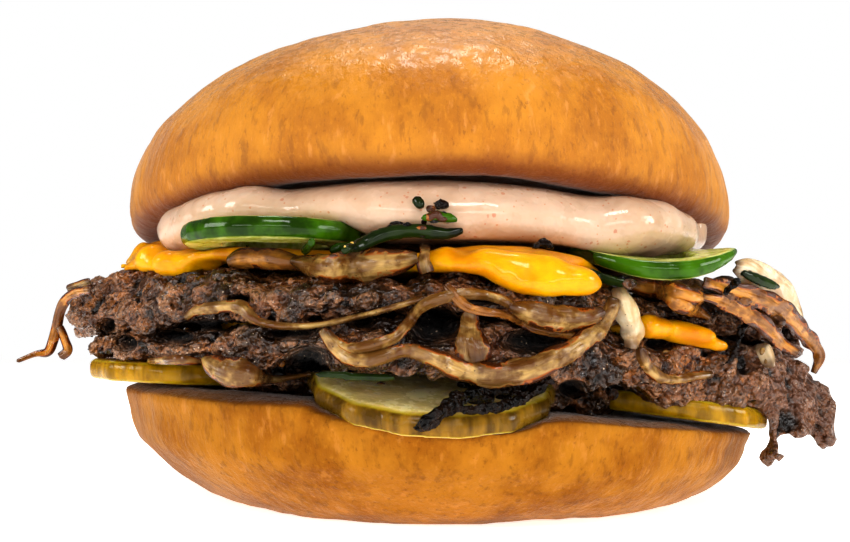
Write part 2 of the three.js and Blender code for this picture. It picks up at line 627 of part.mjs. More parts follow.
// Loose strands of onion and crisps that hang over the outside, each laid on what is there already
const STRANDS = {
  onion_strand_left: {
    route: [
      [-38.8, 31.7], [-34.5, 32.6], [-29, 33.2], [-26.6, 32.4], [-24.5, 30.6], [-19.8, 29.9],
      [-15.4, 30], [-10.3, 31.1], [-4.3, 33], [1.7, 35.2],
    ],
    width: 2.3, thick: 1.3, steps: 15, material: ONION,
  },
  onion_strand_curved: {
    route: [
      [-15, 29.2], [-13, 27.4], [-10.6, 26.6], [-7.6, 27], [-5, 28.2], [-3.6, 30.2], [-1.7, 32.5],
      [2, 33.8], [6.5, 34], [10.8, 32.8],
    ],
    width: 2.3, thick: 1.4, steps: 15, material: ONION,
  },
  onion_strand_brown: {
    route: [[1.6, 35.8], [3.2, 33.9], [5.4, 32.4], [10, 31], [13, 29.6], [17, 28.6], [21, 29]],
    width: 2.4, thick: 1.3, steps: 13, material: BROWN_ONION,
  },
  onion_petal_front_right: {
    route: [[10.6, 33], [14.5, 32.4], [18.5, 32], [22.6, 31.7]],
    width: 3.2, thick: 1.5, cup: 0.3, steps: 8, material: ONION,
  },
  onion_petal_middle: {
    route: [[4.7, 31.6], [5, 29], [6, 25.8]],
    width: 3, flare: 1.9, thick: 1.1, steps: 7, ends: 0.8, material: ONION,
  },
  onion_loop_front: {
    route: [
      [-14.6, 28.2], [-12.2, 25.8], [-9.3, 24.9], [-5.5, 25.8], [-1.6, 25.2], [3, 23.3], [7, 22.6],
      [11, 22.7], [15.5, 24], [19, 26.2], [21.4, 28.4], [23.4, 31.4],
    ],
    width: 2.7, thick: 1.4, steps: 18, material: ONION,
  },
  onion_petal_right_middle: {
    route: [[26.2, 35.6], [28, 33.2], [29.4, 30.8], [28.8, 28.2]],
    width: 4.6, thick: 1.4, steps: 8, cup: 0.4, ends: 0.6, material: ONION,
  },
  onion_curl_front: {
    route: [[0, 41.8], [-0.6, 39.8], [-0.9, 38.2], [0.5, 36.4]],
    width: 2.6, thick: 1.3, steps: 8, roll: 50, material: ONION,
  },
  onion_petal_olive: {
    route: [[36, 33.2], [40, 32.2], [44, 31.2], [47, 30.4]],
    width: 2.4, thick: 1.3, steps: 7, material: ONION,
  },
  onion_strand_low_right: {
    route: [[29.6, 27.2], [31.4, 25.2], [33.4, 23.5], [36.6, 22.4], [41, 22.5], [46, 22.9]],
    width: 1.9, thick: 1.2, steps: 12, material: BROWN_ONION,
  },
  onion_petal_left_low: {
    route: [[-32, 25.4], [-28, 24.6], [-24, 23.6], [-19.6, 22.8]],
    width: 3.9, thick: 1.4, steps: 8, cup: 0.4, material: BROWN_ONION,
  },
  onion_slice_left: {
    route: [[-47, 24.6], [-41, 25], [-34.6, 25]],
    width: 1.6, thick: 1.5, steps: 6, material: ONION,
  },
  onion_edge_left: {
    route: [
      [-60, 36.8, 63.8], [-64, 36.7, 65.4], [-69, 36.4, 67.2], [-74, 35.4, 68.2], [-72, 32.8, 69],
      [-71, 30, 69.6], [-71, 27.8, 70], [-70.4, 26.8, 71.4], [-69, 24.6, 75.2],
    ],
    width: 2, thick: 1.3, steps: 17, free: true, ends: 0.25, material: BROWN_ONION,
  },
  onion_fold_left: {
    route: [[-68.4, 30.4, 68.2], [-66.6, 28.2, 68], [-66, 26.4, 68.2], [-67.6, 25.6, 69]],
    width: 2.6, thick: 1.2, steps: 7, free: true, material: BROWN_ONION,
  },
  onion_tip_left: {
    route: [[-73, 37.6, 67.4], [-69, 38.4, 66.6], [-64, 38.8, 65.4]],
    width: 2.2, thick: 1, steps: 5, free: true, ends: 0.7, material: ONION,
  },
  onion_edge_right: {
    route: [
      [43, 36.3, 63.6], [47, 35.6, 64.6], [51, 34.9, 66], [54.3, 34.1, 67.4], [58.6, 33.4, 68.9],
      [63.6, 32.2, 70.2], [67, 30, 70.8], [68.6, 27.5, 71.6], [69.8, 25.5, 72.2], [71, 23.4, 71],
    ],
    width: 2.6, thick: 1.3, steps: 15, free: true, material: BROWN_ONION,
  },
  onion_strand_right: {
    route: [
      [48, 33.6, 61.5], [52.5, 32.6, 63.4], [55.7, 31.2, 65], [57.8, 29.6, 66.6], [60, 27.6, 68.2],
      [62, 26.8, 70],
    ],
    width: 2.6, thick: 1.3, steps: 11, free: true, material: BROWN_ONION,
  },
  charred_strand_right: {
    route: [[54.3, 31.9], [51.5, 31], [50.4, 29], [49.6, 27.2], [48, 25.2], [46.4, 24]],
    width: 1.6, thick: 1.3, steps: 10, material: CHAR,
  },
  charred_lump_right: {
    route: [[42.4, 37], [43.4, 35.2], [43.8, 33.8]],
    width: 2.1, thick: 1.5, steps: 5, ends: 0.6, material: CHAR,
  },
  onion_bit_right: {
    route: [[55.2, 27.2], [56, 25.7], [55.6, 24.3]],
    width: 2.2, thick: 1.5, steps: 5, ends: 0.6, material: ONION,
  },
  jalapeno_strip_shadow: {
    route: [[-15.2, 23.2, 62.5], [-11.5, 23, 61.5], [-7.5, 22.7, 60.8], [-4.6, 22.8, 60.5]],
    width: 1.5, thick: 1.2, steps: 7, free: true, material: DARK_GREEN,
  },
  charred_crust_front: {
    route: [
      [16, 22.6, 60.6], [13.6, 21.6, 58], [10.3, 21.2, 56.6], [7.6, 21, 56.6], [5, 20.4, 58], [3, 19.2, 60.4],
      [1.2, 18, 62.3], [-0.6, 16.8, 62.4], [-2, 15.6, 62.3],
    ],
    width: 2.8, thick: 1.9, steps: 12, free: true, ends: 0.55, material: CHAR,
  },
  charred_crust_arm: {
    route: [[4.4, 18.2, 61.6], [7.6, 18.6, 61.4], [11.4, 19.4, 60.6], [14, 20.4, 59.6]],
    width: 2, thick: 1.4, steps: 8, free: true, material: CHAR,
  },
  onion_strand_back: {
    route: [[200, 33], [190, 31], [180, 29.4], [170, 27.4], [160, 27], [150, 29], [144, 32]],
    width: 2.6, thick: 1.4, steps: 12, material: ONION,
  },
  onion_strand_back_right: {
    route: [[132, 36], [126, 33], [118, 30], [110, 28.6], [104, 26.6]],
    width: 2.4, thick: 1.4, steps: 9, material: BROWN_ONION,
  },
  onion_strand_back_left: {
    route: [[-108, 38], [-114, 34], [-122, 30.6], [-132, 29.4], [-142, 31], [-150, 33.4]],
    width: 2.4, thick: 1.4, steps: 11, material: ONION,
  },
};
for (const [name, { material, ...spec }] of Object.entries({ ...TOPPINGS, ...STRANDS })) {
  add(name, clearOf(ribbon(spec), [...done.values()]), material);
}

export default burger;
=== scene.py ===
# %% [markdown]
# # A loaded hamburger
# The solids of the burger come in as a fixed frame: 58 closed shapes, in metres, with +Z up. They have the
# right size, place and outline, but a facet is a few millimetres wide. Food has no facets, so each solid is
# copied, and the copy gets the soft skin, crumbs, pores and colour of the real food. The solids are not changed.

# %% Load the frame
import json
import math
import random
import bpy
import numpy as np
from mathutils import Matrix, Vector
from mathutils.bvhtree import BVHTree

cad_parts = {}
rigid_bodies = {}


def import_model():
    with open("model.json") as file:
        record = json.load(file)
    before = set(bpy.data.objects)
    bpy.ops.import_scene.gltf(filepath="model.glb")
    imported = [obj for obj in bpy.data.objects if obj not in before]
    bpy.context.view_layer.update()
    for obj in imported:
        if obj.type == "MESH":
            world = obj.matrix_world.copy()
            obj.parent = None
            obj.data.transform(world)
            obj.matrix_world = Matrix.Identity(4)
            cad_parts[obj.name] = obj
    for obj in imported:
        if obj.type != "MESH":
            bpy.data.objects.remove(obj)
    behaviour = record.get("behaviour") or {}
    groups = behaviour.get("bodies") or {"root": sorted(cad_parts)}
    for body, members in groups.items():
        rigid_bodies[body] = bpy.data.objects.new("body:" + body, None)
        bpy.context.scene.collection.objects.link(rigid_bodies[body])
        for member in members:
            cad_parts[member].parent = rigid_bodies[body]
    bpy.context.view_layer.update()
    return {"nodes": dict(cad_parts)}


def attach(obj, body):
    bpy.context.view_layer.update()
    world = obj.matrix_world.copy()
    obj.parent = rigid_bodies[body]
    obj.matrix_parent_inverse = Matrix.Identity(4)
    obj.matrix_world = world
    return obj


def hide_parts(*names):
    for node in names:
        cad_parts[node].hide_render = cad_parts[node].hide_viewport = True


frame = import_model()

MM = 0.001
nodes = frame["nodes"]

# %% [markdown]
# ## The camera
# The photo looks at the burger from just above the table, so close that the front is drawn larger than the
# sides. A camera could be aimed by eye, but the photo's horizon gives its height and the size of the bun gives
# its distance, so those two are used. It looks slightly up, as the horizon lies below the picture's middle.

# %% Camera
FOCAL_PIXELS = 1013
PICTURE_WIDTH, PICTURE_HEIGHT = 850, 542
RISE_PIXELS = 79
CAMERA_PLACE = (-1 * MM, -200 * MM, 26.5 * MM)
lens = bpy.data.cameras.new("photo_camera")
lens.sensor_width = 36
lens.lens = FOCAL_PIXELS / PICTURE_WIDTH * lens.sensor_width
lens.clip_start = 0.005
camera = bpy.data.objects.new("photo_camera", lens)
camera.location = CAMERA_PLACE
camera.rotation_euler = (math.pi / 2 + math.atan(RISE_PIXELS / FOCAL_PIXELS), 0, 0)
bpy.context.scene.collection.objects.link(camera)
bpy.context.scene.camera = camera
print("lens", round(lens.lens, 2), "mm")

# %% [markdown]
# ## The light
# The food was lit from large white surfaces. One wide panel hangs over it and makes the broad shine on the crown.
# A smaller one in front makes the sharp glints on sauce, cheese and grease. Two at the sides and a low one reach
# under the crown. A lamp as small as a bulb would make hard shadows, which the photo doesn't have.

# %% Panels
def panel(name, place, size, watts, aim=(0, 0, 0.045)):
    light = bpy.data.lights.new(name, "AREA")
    light.shape = "RECTANGLE"
    light.size, light.size_y = size
    light.energy = watts
    lamp = bpy.data.objects.new(name, light)
    lamp.location = place
    way = np.array(aim) - np.array(place)
    lamp.rotation_euler = (math.atan2(math.hypot(way[0], way[1]), -way[2]), 0, math.atan2(-way[0], way[1]))
    bpy.context.scene.collection.objects.link(lamp)

panel("panel_above", (0.01, 0.07, 0.6), (0.26, 0.18), 2.15)
panel("panel_front", (0.14, -0.52, 0.5), (0.2, 0.12), 1.35)
panel("panel_left", (-0.6, -0.3, 0.25), (0.24, 0.24), 2.1)
panel("panel_right", (0.6, -0.25, 0.22), (0.24, 0.24), 2.1)
panel("panel_low", (0, -0.5, 0.13), (0.5, 0.06), 0.7, aim=(0, 0, 0.025))

# %% [markdown]
# ## The white room
# The room is white where the camera sees it and dim as a light, so that gaps in the food stay dark. Plain white
# all round would fill them. A gamma of 0.8 deepens the darks further, as the photo's are nearly black.

# %% The white room
GAMMA = 0.8
ROOM_AS_LIGHT, ROOM_AS_SEEN = 0.26, 1.0
room = bpy.data.worlds.new("white_room")
room.use_nodes = True
air = room.node_tree
seen = air.nodes.new("ShaderNodeLightPath").outputs["Is Camera Ray"]
strength = air.nodes.new("ShaderNodeMapRange")
air.links.new(seen, strength.inputs["Value"])
strength.inputs["To Min"].default_value = ROOM_AS_LIGHT
strength.inputs["To Max"].default_value = ROOM_AS_SEEN
air.nodes["Background"].inputs["Color"].default_value = (1, 1, 1, 1)
air.links.new(strength.outputs["Result"], air.nodes["Background"].inputs["Strength"])
bpy.context.scene.world = room
bpy.context.scene.view_settings.view_transform = "Standard"
bpy.context.scene.view_settings.gamma = GAMMA
print("room", room.name, ROOM_AS_LIGHT)

# %% [markdown]
# ## Small helpers for shapes
# An operator works on all that is selected, so each step starts by selecting one piece only. A solid comes as
# loose triangles, so its copy is welded before anything else is done to it.

# %% Select, weld and apply
def select_only(piece):
    bpy.ops.object.select_all(action="DESELECT")
    piece.select_set(True)
    bpy.context.view_layer.objects.active = piece

def weld(piece):
    select_only(piece)
    bpy.ops.object.mode_set(mode="EDIT")
    bpy.ops.mesh.select_all(action="SELECT")
    bpy.ops.mesh.remove_doubles(threshold=0.002 * MM)
    bpy.ops.object.mode_set(mode="OBJECT")

def copy_of(node):
    piece = bpy.data.objects.new(node + "_food", nodes[node].data.copy())
    bpy.context.scene.collection.objects.link(piece)
    weld(piece)
    return piece

def modify(piece, kind, **settings):
    select_only(piece)
    modifier = piece.modifiers.new(kind.lower(), kind)
    for name, value in settings.items():
        setattr(modifier, name, value)
    bpy.ops.object.modifier_apply(modifier=modifier.name)

# %% [markdown]
# ## From facets to skin
# A facet can be rounded by subdivision, but these solids have been cut by their neighbours, and long thin
# triangles subdivide badly. A voxel remesh gives an even net whatever the triangles were, and a few rounds of
# smoothing melt the facets into it. The voxel is as small as the finest detail that the piece should carry.

# %% Soft skin
def soft_skin(piece, voxel, rounds):
    modify(piece, "REMESH", mode="VOXEL", voxel_size=voxel * MM, use_smooth_shade=True)
    if rounds:
        modify(piece, "SMOOTH", factor=0.5, iterations=rounds)

def texture(name, kind, size, **settings):
    made = bpy.data.textures.new(name, kind)
    made.noise_scale = size * MM
    for key, value in settings.items():
        setattr(made, key, value)
    return made

def raise_skin(piece, pattern, height, level=0.5):
    modify(piece, "DISPLACE", texture=pattern, texture_coords="LOCAL", strength=height * MM, mid_level=level)

def swell(piece, height):
    modify(piece, "DISPLACE", strength=height * MM, mid_level=0)

# %% [markdown]
# ## Reading a mesh
# Some colours here follow shape: hollows are painted dark, as painted shade, and ridges are painted pale, as
# painted highlight. The shape is measured once, point by point, and stored on the mesh as a named attribute that
# its material reads.

# %% Points, normals and attributes
def points_of(piece):
    flat = np.empty(len(piece.data.vertices) * 3, dtype=np.float32)
    piece.data.vertices.foreach_get("co", flat)
    return flat.reshape(-1, 3).astype(float)

def normals_of(piece):
    flat = np.empty(len(piece.data.vertices) * 3, dtype=np.float32)
    piece.data.vertex_normals.foreach_get("vector", flat)
    return flat.reshape(-1, 3).astype(float)

def set_points(piece, points):
    piece.data.vertices.foreach_set("co", points.astype(np.float32).ravel())
    piece.data.update()

def edges_of(piece):
    flat = np.empty(len(piece.data.edges) * 2, dtype=np.int32)
    piece.data.edges.foreach_get("vertices", flat)
    return flat.reshape(-1, 2)

def store(piece, name, values):
    vector = values.ndim == 2
    attribute = piece.data.attributes.new(name, "FLOAT_VECTOR" if vector else "FLOAT", "POINT")
    attribute.data.foreach_set("vector" if vector else "value", values.astype(np.float32).ravel())

def store_relief(piece, rounds=24):
    """Stores how far each point stands out of its smoothed surroundings, in millimetres."""
    points, edges = points_of(piece), edges_of(piece)
    ends = np.concatenate([edges[:, 0], edges[:, 1]])
    mates = np.concatenate([edges[:, 1], edges[:, 0]])
    count = np.maximum(np.bincount(ends, minlength=len(points)), 1)[:, None]
    calm = points.copy()
    for _ in range(rounds):
        near = [np.bincount(ends, weights=calm[mates, axis], minlength=len(points)) for axis in range(3)]
        calm = 0.5 * calm + 0.5 * np.stack(near, axis=1) / count
    store(piece, "relief", ((points - calm) * normals_of(piece)).sum(axis=1) / MM)

# %% [markdown]
# ## Small helpers for materials
# A material is a small net of nodes. These helpers place one node and join it to what feeds it, so that a
# material can be read as a list of what is laid over what.

# %% Colours and nodes
def colour(text):
    part = [int(text[i:i + 2], 16) / 255 for i in (0, 2, 4)]
    return (*[v / 12.92 if v <= 0.04045 else ((v + 0.055) / 1.055) ** 2.4 for v in part], 1)

def node(tree, kind, feeds=None, **settings):
    made = tree.nodes.new("ShaderNode" + kind)
    for name, value in settings.items():
        setattr(made, name, value)
    for name, value in (feeds or {}).items():
        if isinstance(value, bpy.types.NodeSocket):
            tree.links.new(value, made.inputs[name])
        else:
            made.inputs[name].default_value = value
    return made

def maths(tree, operation, a, b=0.0):
    return node(tree, "Math", {0: a, 1: b}, operation=operation).outputs[0]

def spread(tree, value, low, high, to_low=0.0, to_high=1.0):
    feeds = {"Value": value, "From Min": low, "From Max": high, "To Min": to_low, "To Max": to_high}
    return node(tree, "MapRange", feeds, interpolation_type="SMOOTHSTEP").outputs["Result"]

def times(tree, a, b):
    return maths(tree, "MULTIPLY", a, b)

def over(tree, mask, under, top):
    return node(tree, "Mix", {0: mask, 6: under, 7: top}, data_type="RGBA").outputs[2]

def coated(tree, base, *coats):
    """Lays colours over a base, one after the other. A coat is a mask and the colour that it lets through."""
    for mask, tone in coats:
        base = over(tree, mask, base, colour(tone))
    return base

# %% [markdown]
# ## Where a pattern sits
# A pattern can follow space, or a number that was stored on the mesh. Sizes are given in millimetres. What is the
# same all over a material is set on the shader itself, and only what changes is fed by nodes.

# %% Patterns and materials
def noise(tree, vector, size, detail=3.0, rough=0.55):
    feeds = {"Vector": vector, "Scale": 1 / (size * MM), "Detail": detail, "Roughness": rough}
    return node(tree, "TexNoise", feeds).outputs["Fac"]

def stretched(tree, vector, scale):
    return node(tree, "Mapping", {"Vector": vector, "Scale": scale}).outputs["Vector"]

def here(tree):
    return node(tree, "TexCoord").outputs["Object"]

def attribute(tree, name, output="Fac"):
    return node(tree, "Attribute", attribute_name=name).outputs[output]

def bump(tree, height, distance, strength=1.0):
    feeds = {"Height": height, "Distance": distance * MM, "Strength": strength}
    return node(tree, "Bump", feeds).outputs["Normal"]

def material(name):
    made = bpy.data.materials.new(name)
    made.use_nodes = True
    return made, made.node_tree, made.node_tree.nodes["Principled BSDF"]

def feed(tree, shader, **feeds):
    names = {"color": "Base Color", "rough": "Roughness", "normal": "Normal"}
    for key, value in feeds.items():
        tree.links.new(value, shader.inputs[names[key]])

def fixed(shader, **values):
    names = {
        "rough": "Roughness", "coat": "Coat Weight", "coat_rough": "Coat Roughness", "sss": "Subsurface Weight",
        "sss_scale": "Subsurface Scale", "sss_radius": "Subsurface Radius", "specular": "Specular IOR Level",
        "glow": "Emission Strength", "sheen": "Sheen Weight", "sheen_rough": "Sheen Roughness",
    }
    for key, value in values.items():
        shader.inputs[names[key]].default_value = value

# %% [markdown]
# ## Effects that many foods share
# Every food here is blotchy, and most have specks: paprika in the sauce, burnt dots on onion, seeds. Each material
# could hold its own noise for this. Both effects are node groups instead: they are built once, and each material
# places them with its own sizes.

# %% Mottle group
def group(name, inputs, outputs):
    tree = bpy.data.node_groups.new(name, "ShaderNodeTree")
    for label, kind, value in inputs:
        socket = tree.interface.new_socket(label, in_out="INPUT", socket_type=kind)
        if value is not None:
            socket.default_value = value
    for label, kind in outputs:
        tree.interface.new_socket(label, in_out="OUTPUT", socket_type=kind)
    return tree, tree.nodes.new("NodeGroupInput"), tree.nodes.new("NodeGroupOutput")

mottle_group, start, end = group(
    "mottle",
    [("Vector", "NodeSocketVector", None), ("Size", "NodeSocketFloat", 5.0), ("Contrast", "NodeSocketFloat", 1.0)],
    [("Mask", "NodeSocketFloat")],
)
scale = maths(mottle_group, "DIVIDE", 1000.0, start.outputs["Size"])
large = node(mottle_group, "TexNoise", {"Vector": start.outputs["Vector"], "Scale": scale, "Detail": 2.0})
fine_scale = times(mottle_group, scale, 3.7)
small = node(mottle_group, "TexNoise", {"Vector": start.outputs["Vector"], "Scale": fine_scale, "Detail": 3.0})
shares = times(mottle_group, large.outputs["Fac"], 0.65), times(mottle_group, small.outputs["Fac"], 0.35)
both = maths(mottle_group, "ADD", *shares)
half = maths(mottle_group, "DIVIDE", 0.14, start.outputs["Contrast"])
low, high = maths(mottle_group, "SUBTRACT", 0.5, half), maths(mottle_group, "ADD", 0.5, half)
mottle_group.links.new(spread(mottle_group, both, low, high), end.inputs["Mask"])

def mottle(tree, vector, size, contrast=1.0):
    feeds = {"Vector": vector, "Size": size, "Contrast": contrast}
    return node(tree, "Group", feeds, node_tree=mottle_group).outputs["Mask"]

print("group", mottle_group.name)

# %% [markdown]
# ## Specks
# A photo of paprika could be scattered as a picture, but it would smear on steep sides. Here space is cut into
# cells, and what lies near the middle of a cell is a speck. Noise makes its edge ragged, as no speck is round.

# %% Speck group
speck_group, start, end = group(
    "specks",
    [("Vector", "NodeSocketVector", None), ("Spacing", "NodeSocketFloat", 3.0), ("Amount", "NodeSocketFloat", 0.2)],
    [("Mask", "NodeSocketFloat")],
)
scale = maths(speck_group, "DIVIDE", 1000.0, start.outputs["Spacing"])
cells = node(speck_group, "TexVoronoi", {"Vector": start.outputs["Vector"], "Scale": scale})
ragged_scale = times(speck_group, scale, 4.0)
ragged = node(speck_group, "TexNoise", {"Vector": start.outputs["Vector"], "Scale": ragged_scale})
reach = times(speck_group, ragged.outputs["Fac"], times(speck_group, start.outputs["Amount"], 2.0))
share = maths(speck_group, "DIVIDE", cells.outputs["Distance"], reach)
speck_group.links.new(spread(speck_group, share, 0.8, 1.2, 1.0, 0.0), end.inputs["Mask"])

def specks(tree, vector, spacing, amount):
    feeds = {"Vector": vector, "Spacing": spacing, "Amount": amount}
    return node(tree, "Group", feeds, node_tree=speck_group).outputs["Mask"]

print("group", speck_group.name)

# %% [markdown]
# ## Handing a piece over
# A finished piece takes the place of its solid: it rides on the same body, hides the solid, and gets its finish.
# Small bits stand for no solid, and hide none.

# %% Serve a piece
served = {}

def serve(piece, finish, in_cad=True):
    piece.data.materials.clear()
    piece.data.materials.append(finish)
    piece.data.shade_smooth()
    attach(piece, "root")
    if in_cad:
        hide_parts(piece.name.removesuffix("_food"))
    served[piece.name] = len(piece.data.polygons)

# %% [markdown]
# ## From the photo to the food
# Lumps and strips are placed by where the photo shows them. A ray from the camera through that point finds the
# food that carries the piece, so it lies on it from every side, and not only from the front.

# %% From the photo to the food
EYE = np.array(camera.location)
TILT = camera.rotation_euler[0] - math.pi / 2
AHEAD = np.array((0, math.cos(TILT), math.sin(TILT)))
UPWARD = np.array((0, -math.sin(TILT), math.cos(TILT)))
RIGHT = np.array((1.0, 0, 0))

def ray(u, v):
    """The way from the camera through a point of the photo, one metre ahead."""
    across = (u - PICTURE_WIDTH / 2) / FOCAL_PIXELS
    upward = (PICTURE_HEIGHT / 2 - v) / FOCAL_PIXELS
    return AHEAD + across * RIGHT + upward * UPWARD

def tree_of(*pieces):
    """A search tree over the skins of several pieces, for rays."""
    corners, faces = [], []
    for piece in pieces:
        first = sum(len(c) for c in corners)
        corners.append(points_of(piece))
        faces += [[first + i for i in face.vertices] for face in piece.data.polygons]
    return BVHTree.FromPolygons(np.concatenate(corners).tolist(), faces)

def depth_at(tree, u, v, default):
    hit = tree.ray_cast(Vector(EYE), Vector(ray(u, v)).normalized())[0]
    return float((np.array(hit) - EYE) @ AHEAD) if hit else default

# %% [markdown]
# ## Lumps
# A lump is a ball stretched to three radii and joined to a piece before its remesh, so that the two become one
# skin. Sculpting by hand would give such forms too, but a row of numbers can be read, moved and used again.

# %% Add a lump
def join_egg(piece, centre, radii):
    bpy.ops.object.select_all(action="DESELECT")
    bpy.ops.mesh.primitive_ico_sphere_add(subdivisions=3, radius=1, location=centre, scale=radii)
    piece.select_set(True)
    bpy.context.view_layer.objects.active = piece
    bpy.ops.object.join()

def join_lump(piece, tree, u, v, wide, high, deep=None, sunk=0.45, y=None):
    """Joins an egg-shaped lump; u, v, wide and high are photo pixels, deep and y are in millimetres."""
    depth = depth_at(tree, u, v, None) if y is None else y * MM - EYE[1]
    if depth is None:
        return False
    pixel = depth / FOCAL_PIXELS
    deep = deep * MM if deep else 0.8 * pixel * min(wide, high)
    join_egg(piece, EYE + ray(u, v) * (depth + sunk * deep), (wide * pixel, deep, high * pixel))
    return True

# %% [markdown]
# ## The bun
# An egg-washed bun is golden brown and glossy where it faced the oven's heat, and paler down its sides. The skin
# is never even: it has blotches a centimetre wide, a grain as fine as orange peel, and soft creases that run
# down the sides, where the dough shrank. Blotches, creases and grain are noise of three sizes, as a painted
# picture would stretch on a dome. Creases and grain also go into the bump. Faces turned down, under the
# crown's lip, are painted darker, as painted shade. The heel's cut face is painted dark brown, partly for its
# toasting and partly as painted shade under the toppings.

# %% Crust
def crust_finish(name, pale, golden, dark, bloom, shine, toast, rim):
    made, tree, shader = material(name)
    place, up = here(tree), attribute(tree, "up")
    wide = mottle(tree, place, 14, 1.1)
    blots = mottle(tree, stretched(tree, place, (1, 1, 0.45)), 4.5, 1.5)
    creases = noise(tree, stretched(tree, place, (1, 1, 0.3)), 1.7, 4.0)
    grain = noise(tree, stretched(tree, place, (1, 1, 0.6)), 0.8, 4.0, 0.75)
    flakes = noise(tree, place, 1.6, 4.0, 0.6)
    base = over(tree, wide, colour(golden), colour(pale))
    base = over(tree, times(tree, blots, 0.1), base, colour(dark))
    low = spread(tree, up, 0.75, 0.35, 0.15, 1.0)
    lines = times(tree, spread(tree, creases, 0.54, 0.66, 0, 0.35), low)
    base = coated(
        tree, base,
        (lines, dark),
        (spread(tree, creases, 0.42, 0.3, 0, 0.4), bloom),
        (spread(tree, grain, 0.5, 0.68, 0, 0.5), pale),
        (times(tree, spread(tree, grain, 0.44, 0.3, 0, 0.45), low), dark),
        # Faces turned down, under the crown's lip, are painted darker: painted shade.
        (spread(tree, up, 0.0, -0.9, 0, toast), "6e2e06"),
        # Faces turned up, the heel's cut face, are painted dark brown: partly its toasting, partly painted shade
        # under the toppings.
        (spread(tree, up, 0.35, 0.85, 0, rim), "66340e"),
    )
    relief = maths(tree, "ADD", times(tree, grain, 0.35), creases)
    feed(tree, shader, color=base, normal=bump(tree, relief, 0.6, 0.7))
    dull = maths(tree, "ADD", spread(tree, flakes, 0.42, 0.58, 0.17, 0.6), spread(tree, up, 0.7, 0.2, 0, 0.5))
    feed(tree, shader, rough=maths(tree, "MINIMUM", dull, 0.62))
    fixed(shader, specular=shine, sheen=0.2, sheen_rough=0.35)
    return made

crown_crust = crust_finish("crown_crust", "c4841a", "ac6c02", "743f00", "dc9c54", shine=0.4, toast=0.8, rim=0.0)
heel_crust = crust_finish("heel_crust", "b47a1e", "965c04", "663900", "c88c44", shine=0.12, toast=0.0, rim=0.6)
print("crusts", crown_crust.name, heel_crust.name)

# %% [markdown]
# ## The two halves of the bun
# The crown is a smooth dome, and the heel is squashed and keeps the crisp edge of its cut face. Both could be
# turned forms, but a real bun has dents as wide as a thumb and fine wrinkles, so two soft cloud patterns raise
# the skin. The foot is made flat again after that, as it stands on the table.

# %% Top and bottom bun
def flatten_foot(bun):
    points = points_of(bun)
    points[:, 2] = np.maximum(points[:, 2], 0)
    set_points(bun, points)

def sharpen_rim(bun, far):
    """Moves the skin between side and cut face outwards and up, so that the cut edge is crisp again."""
    points, up = points_of(bun), normals_of(bun)[:, 2]
    out = points * (1, 1, 0)
    reach = np.linalg.norm(out, axis=1, keepdims=True)
    rim = np.clip(1 - np.abs(up - 0.5) / 0.45, 0, 1) * (reach[:, 0] > 0.05)
    set_points(bun, points + (out / reach + (0, 0, 0.6)) * (rim * far * MM)[:, None])

dents = texture("dents", "CLOUDS", 17, noise_depth=1)
wrinkles = texture("wrinkles", "CLOUDS", 3.5, noise_depth=2)
for name, crust, rounds in (("bun_top", crown_crust, 26), ("bun_bottom", heel_crust, 9)):
    bun = copy_of(name)
    soft_skin(bun, voxel=1.0, rounds=rounds)
    if name == "bun_bottom":
        sharpen_rim(bun, far=1.6)
    raise_skin(bun, dents, height=1.1)
    raise_skin(bun, wrinkles, height=0.35)
    modify(bun, "SMOOTH", factor=0.5, iterations=2)
    flatten_foot(bun)
    store(bun, "up", normals_of(bun)[:, 2])
    serve(bun, crust)
    print(name, served[bun.name])

# %% [markdown]
# ## The look of the beef
# The beef is brown where it was seared, and grey and fatty at the crisp edge on the right. The height of each point
# tells the material where to paint light and shade: raised lumps are painted paler, as painted highlight, and
# hollows and pressed gaps nearly black, as painted shade. Grease makes it wet, so a bump of small beads breaks the
# light into sparkles. Gloss alone would make it look like plastic.

# %% Seared beef
meat, tree, shader = material("seared_beef")
place, relief, gap = here(tree), attribute(tree, "relief"), attribute(tree, "gap")
warp = node(tree, "TexNoise", {"Vector": place, "Scale": 420, "Detail": 2.0}).outputs["Color"]
bent = node(tree, "VectorMath", {0: warp, 1: (0.0016,) * 3, 2: place}, operation="MULTIPLY_ADD").outputs[0]
grains = node(tree, "TexVoronoi", {"Vector": bent, "Scale": 620})
tone = node(tree, "SeparateColor", {0: grains.outputs["Color"]}).outputs[0]
grit_fine = noise(tree, place, 0.5, 4.0, 0.75)
patches = mottle(tree, place, 7, 2.0)
aside = node(tree, "SeparateXYZ", {0: place}).outputs["X"]
middle = spread(tree, maths(tree, "ABSOLUTE", aside), 0.03, 0.058, 1.0, 0.25)
drippings = spread(tree, aside, 0.044, 0.06, 0, 0.6)
# Pale specks on raised crests: partly fat, partly painted glints.
fat = times(tree, specks(tree, place, 0.8, 0.14), spread(tree, relief, -0.1, 0.3))
base = over(tree, tone, colour("4c220c"), colour("ba7a44"))
base = coated(
    tree, base,
    (spread(tree, mottle(tree, place, 5, 1.5), 0.3, 0.9, 0, 0.6), "946242"),
    # Raised lumps are painted paler: painted highlight.
    (spread(tree, relief, 0.05, 0.7, 0, 0.6), "b08460"),
    (spread(tree, grit_fine, 0.52, 0.38, 0, 0.85), "180803"),
    (times(tree, times(tree, patches, middle), 0.85), "0d0402"),
    (drippings, "6a4634"),
    # Hollows and pressed gaps are painted nearly black: painted shade.
    (spread(tree, relief, -0.05, -0.6, 0, 0.97), "030100"),
    (times(tree, gap, 0.97), "030100"),
    # Pale specks on the crests: partly fat, partly painted highlight.
    (times(tree, fat, 0.8), "d8c0a4"),
)
wet = mottle(tree, place, 1.8, 2.0)
beads = noise(tree, place, 1.3, 1.0)
height = maths(tree, "ADD", beads, times(tree, grains.outputs["Distance"], -0.35))
height = maths(tree, "ADD", height, times(tree, grit_fine, 0.08))
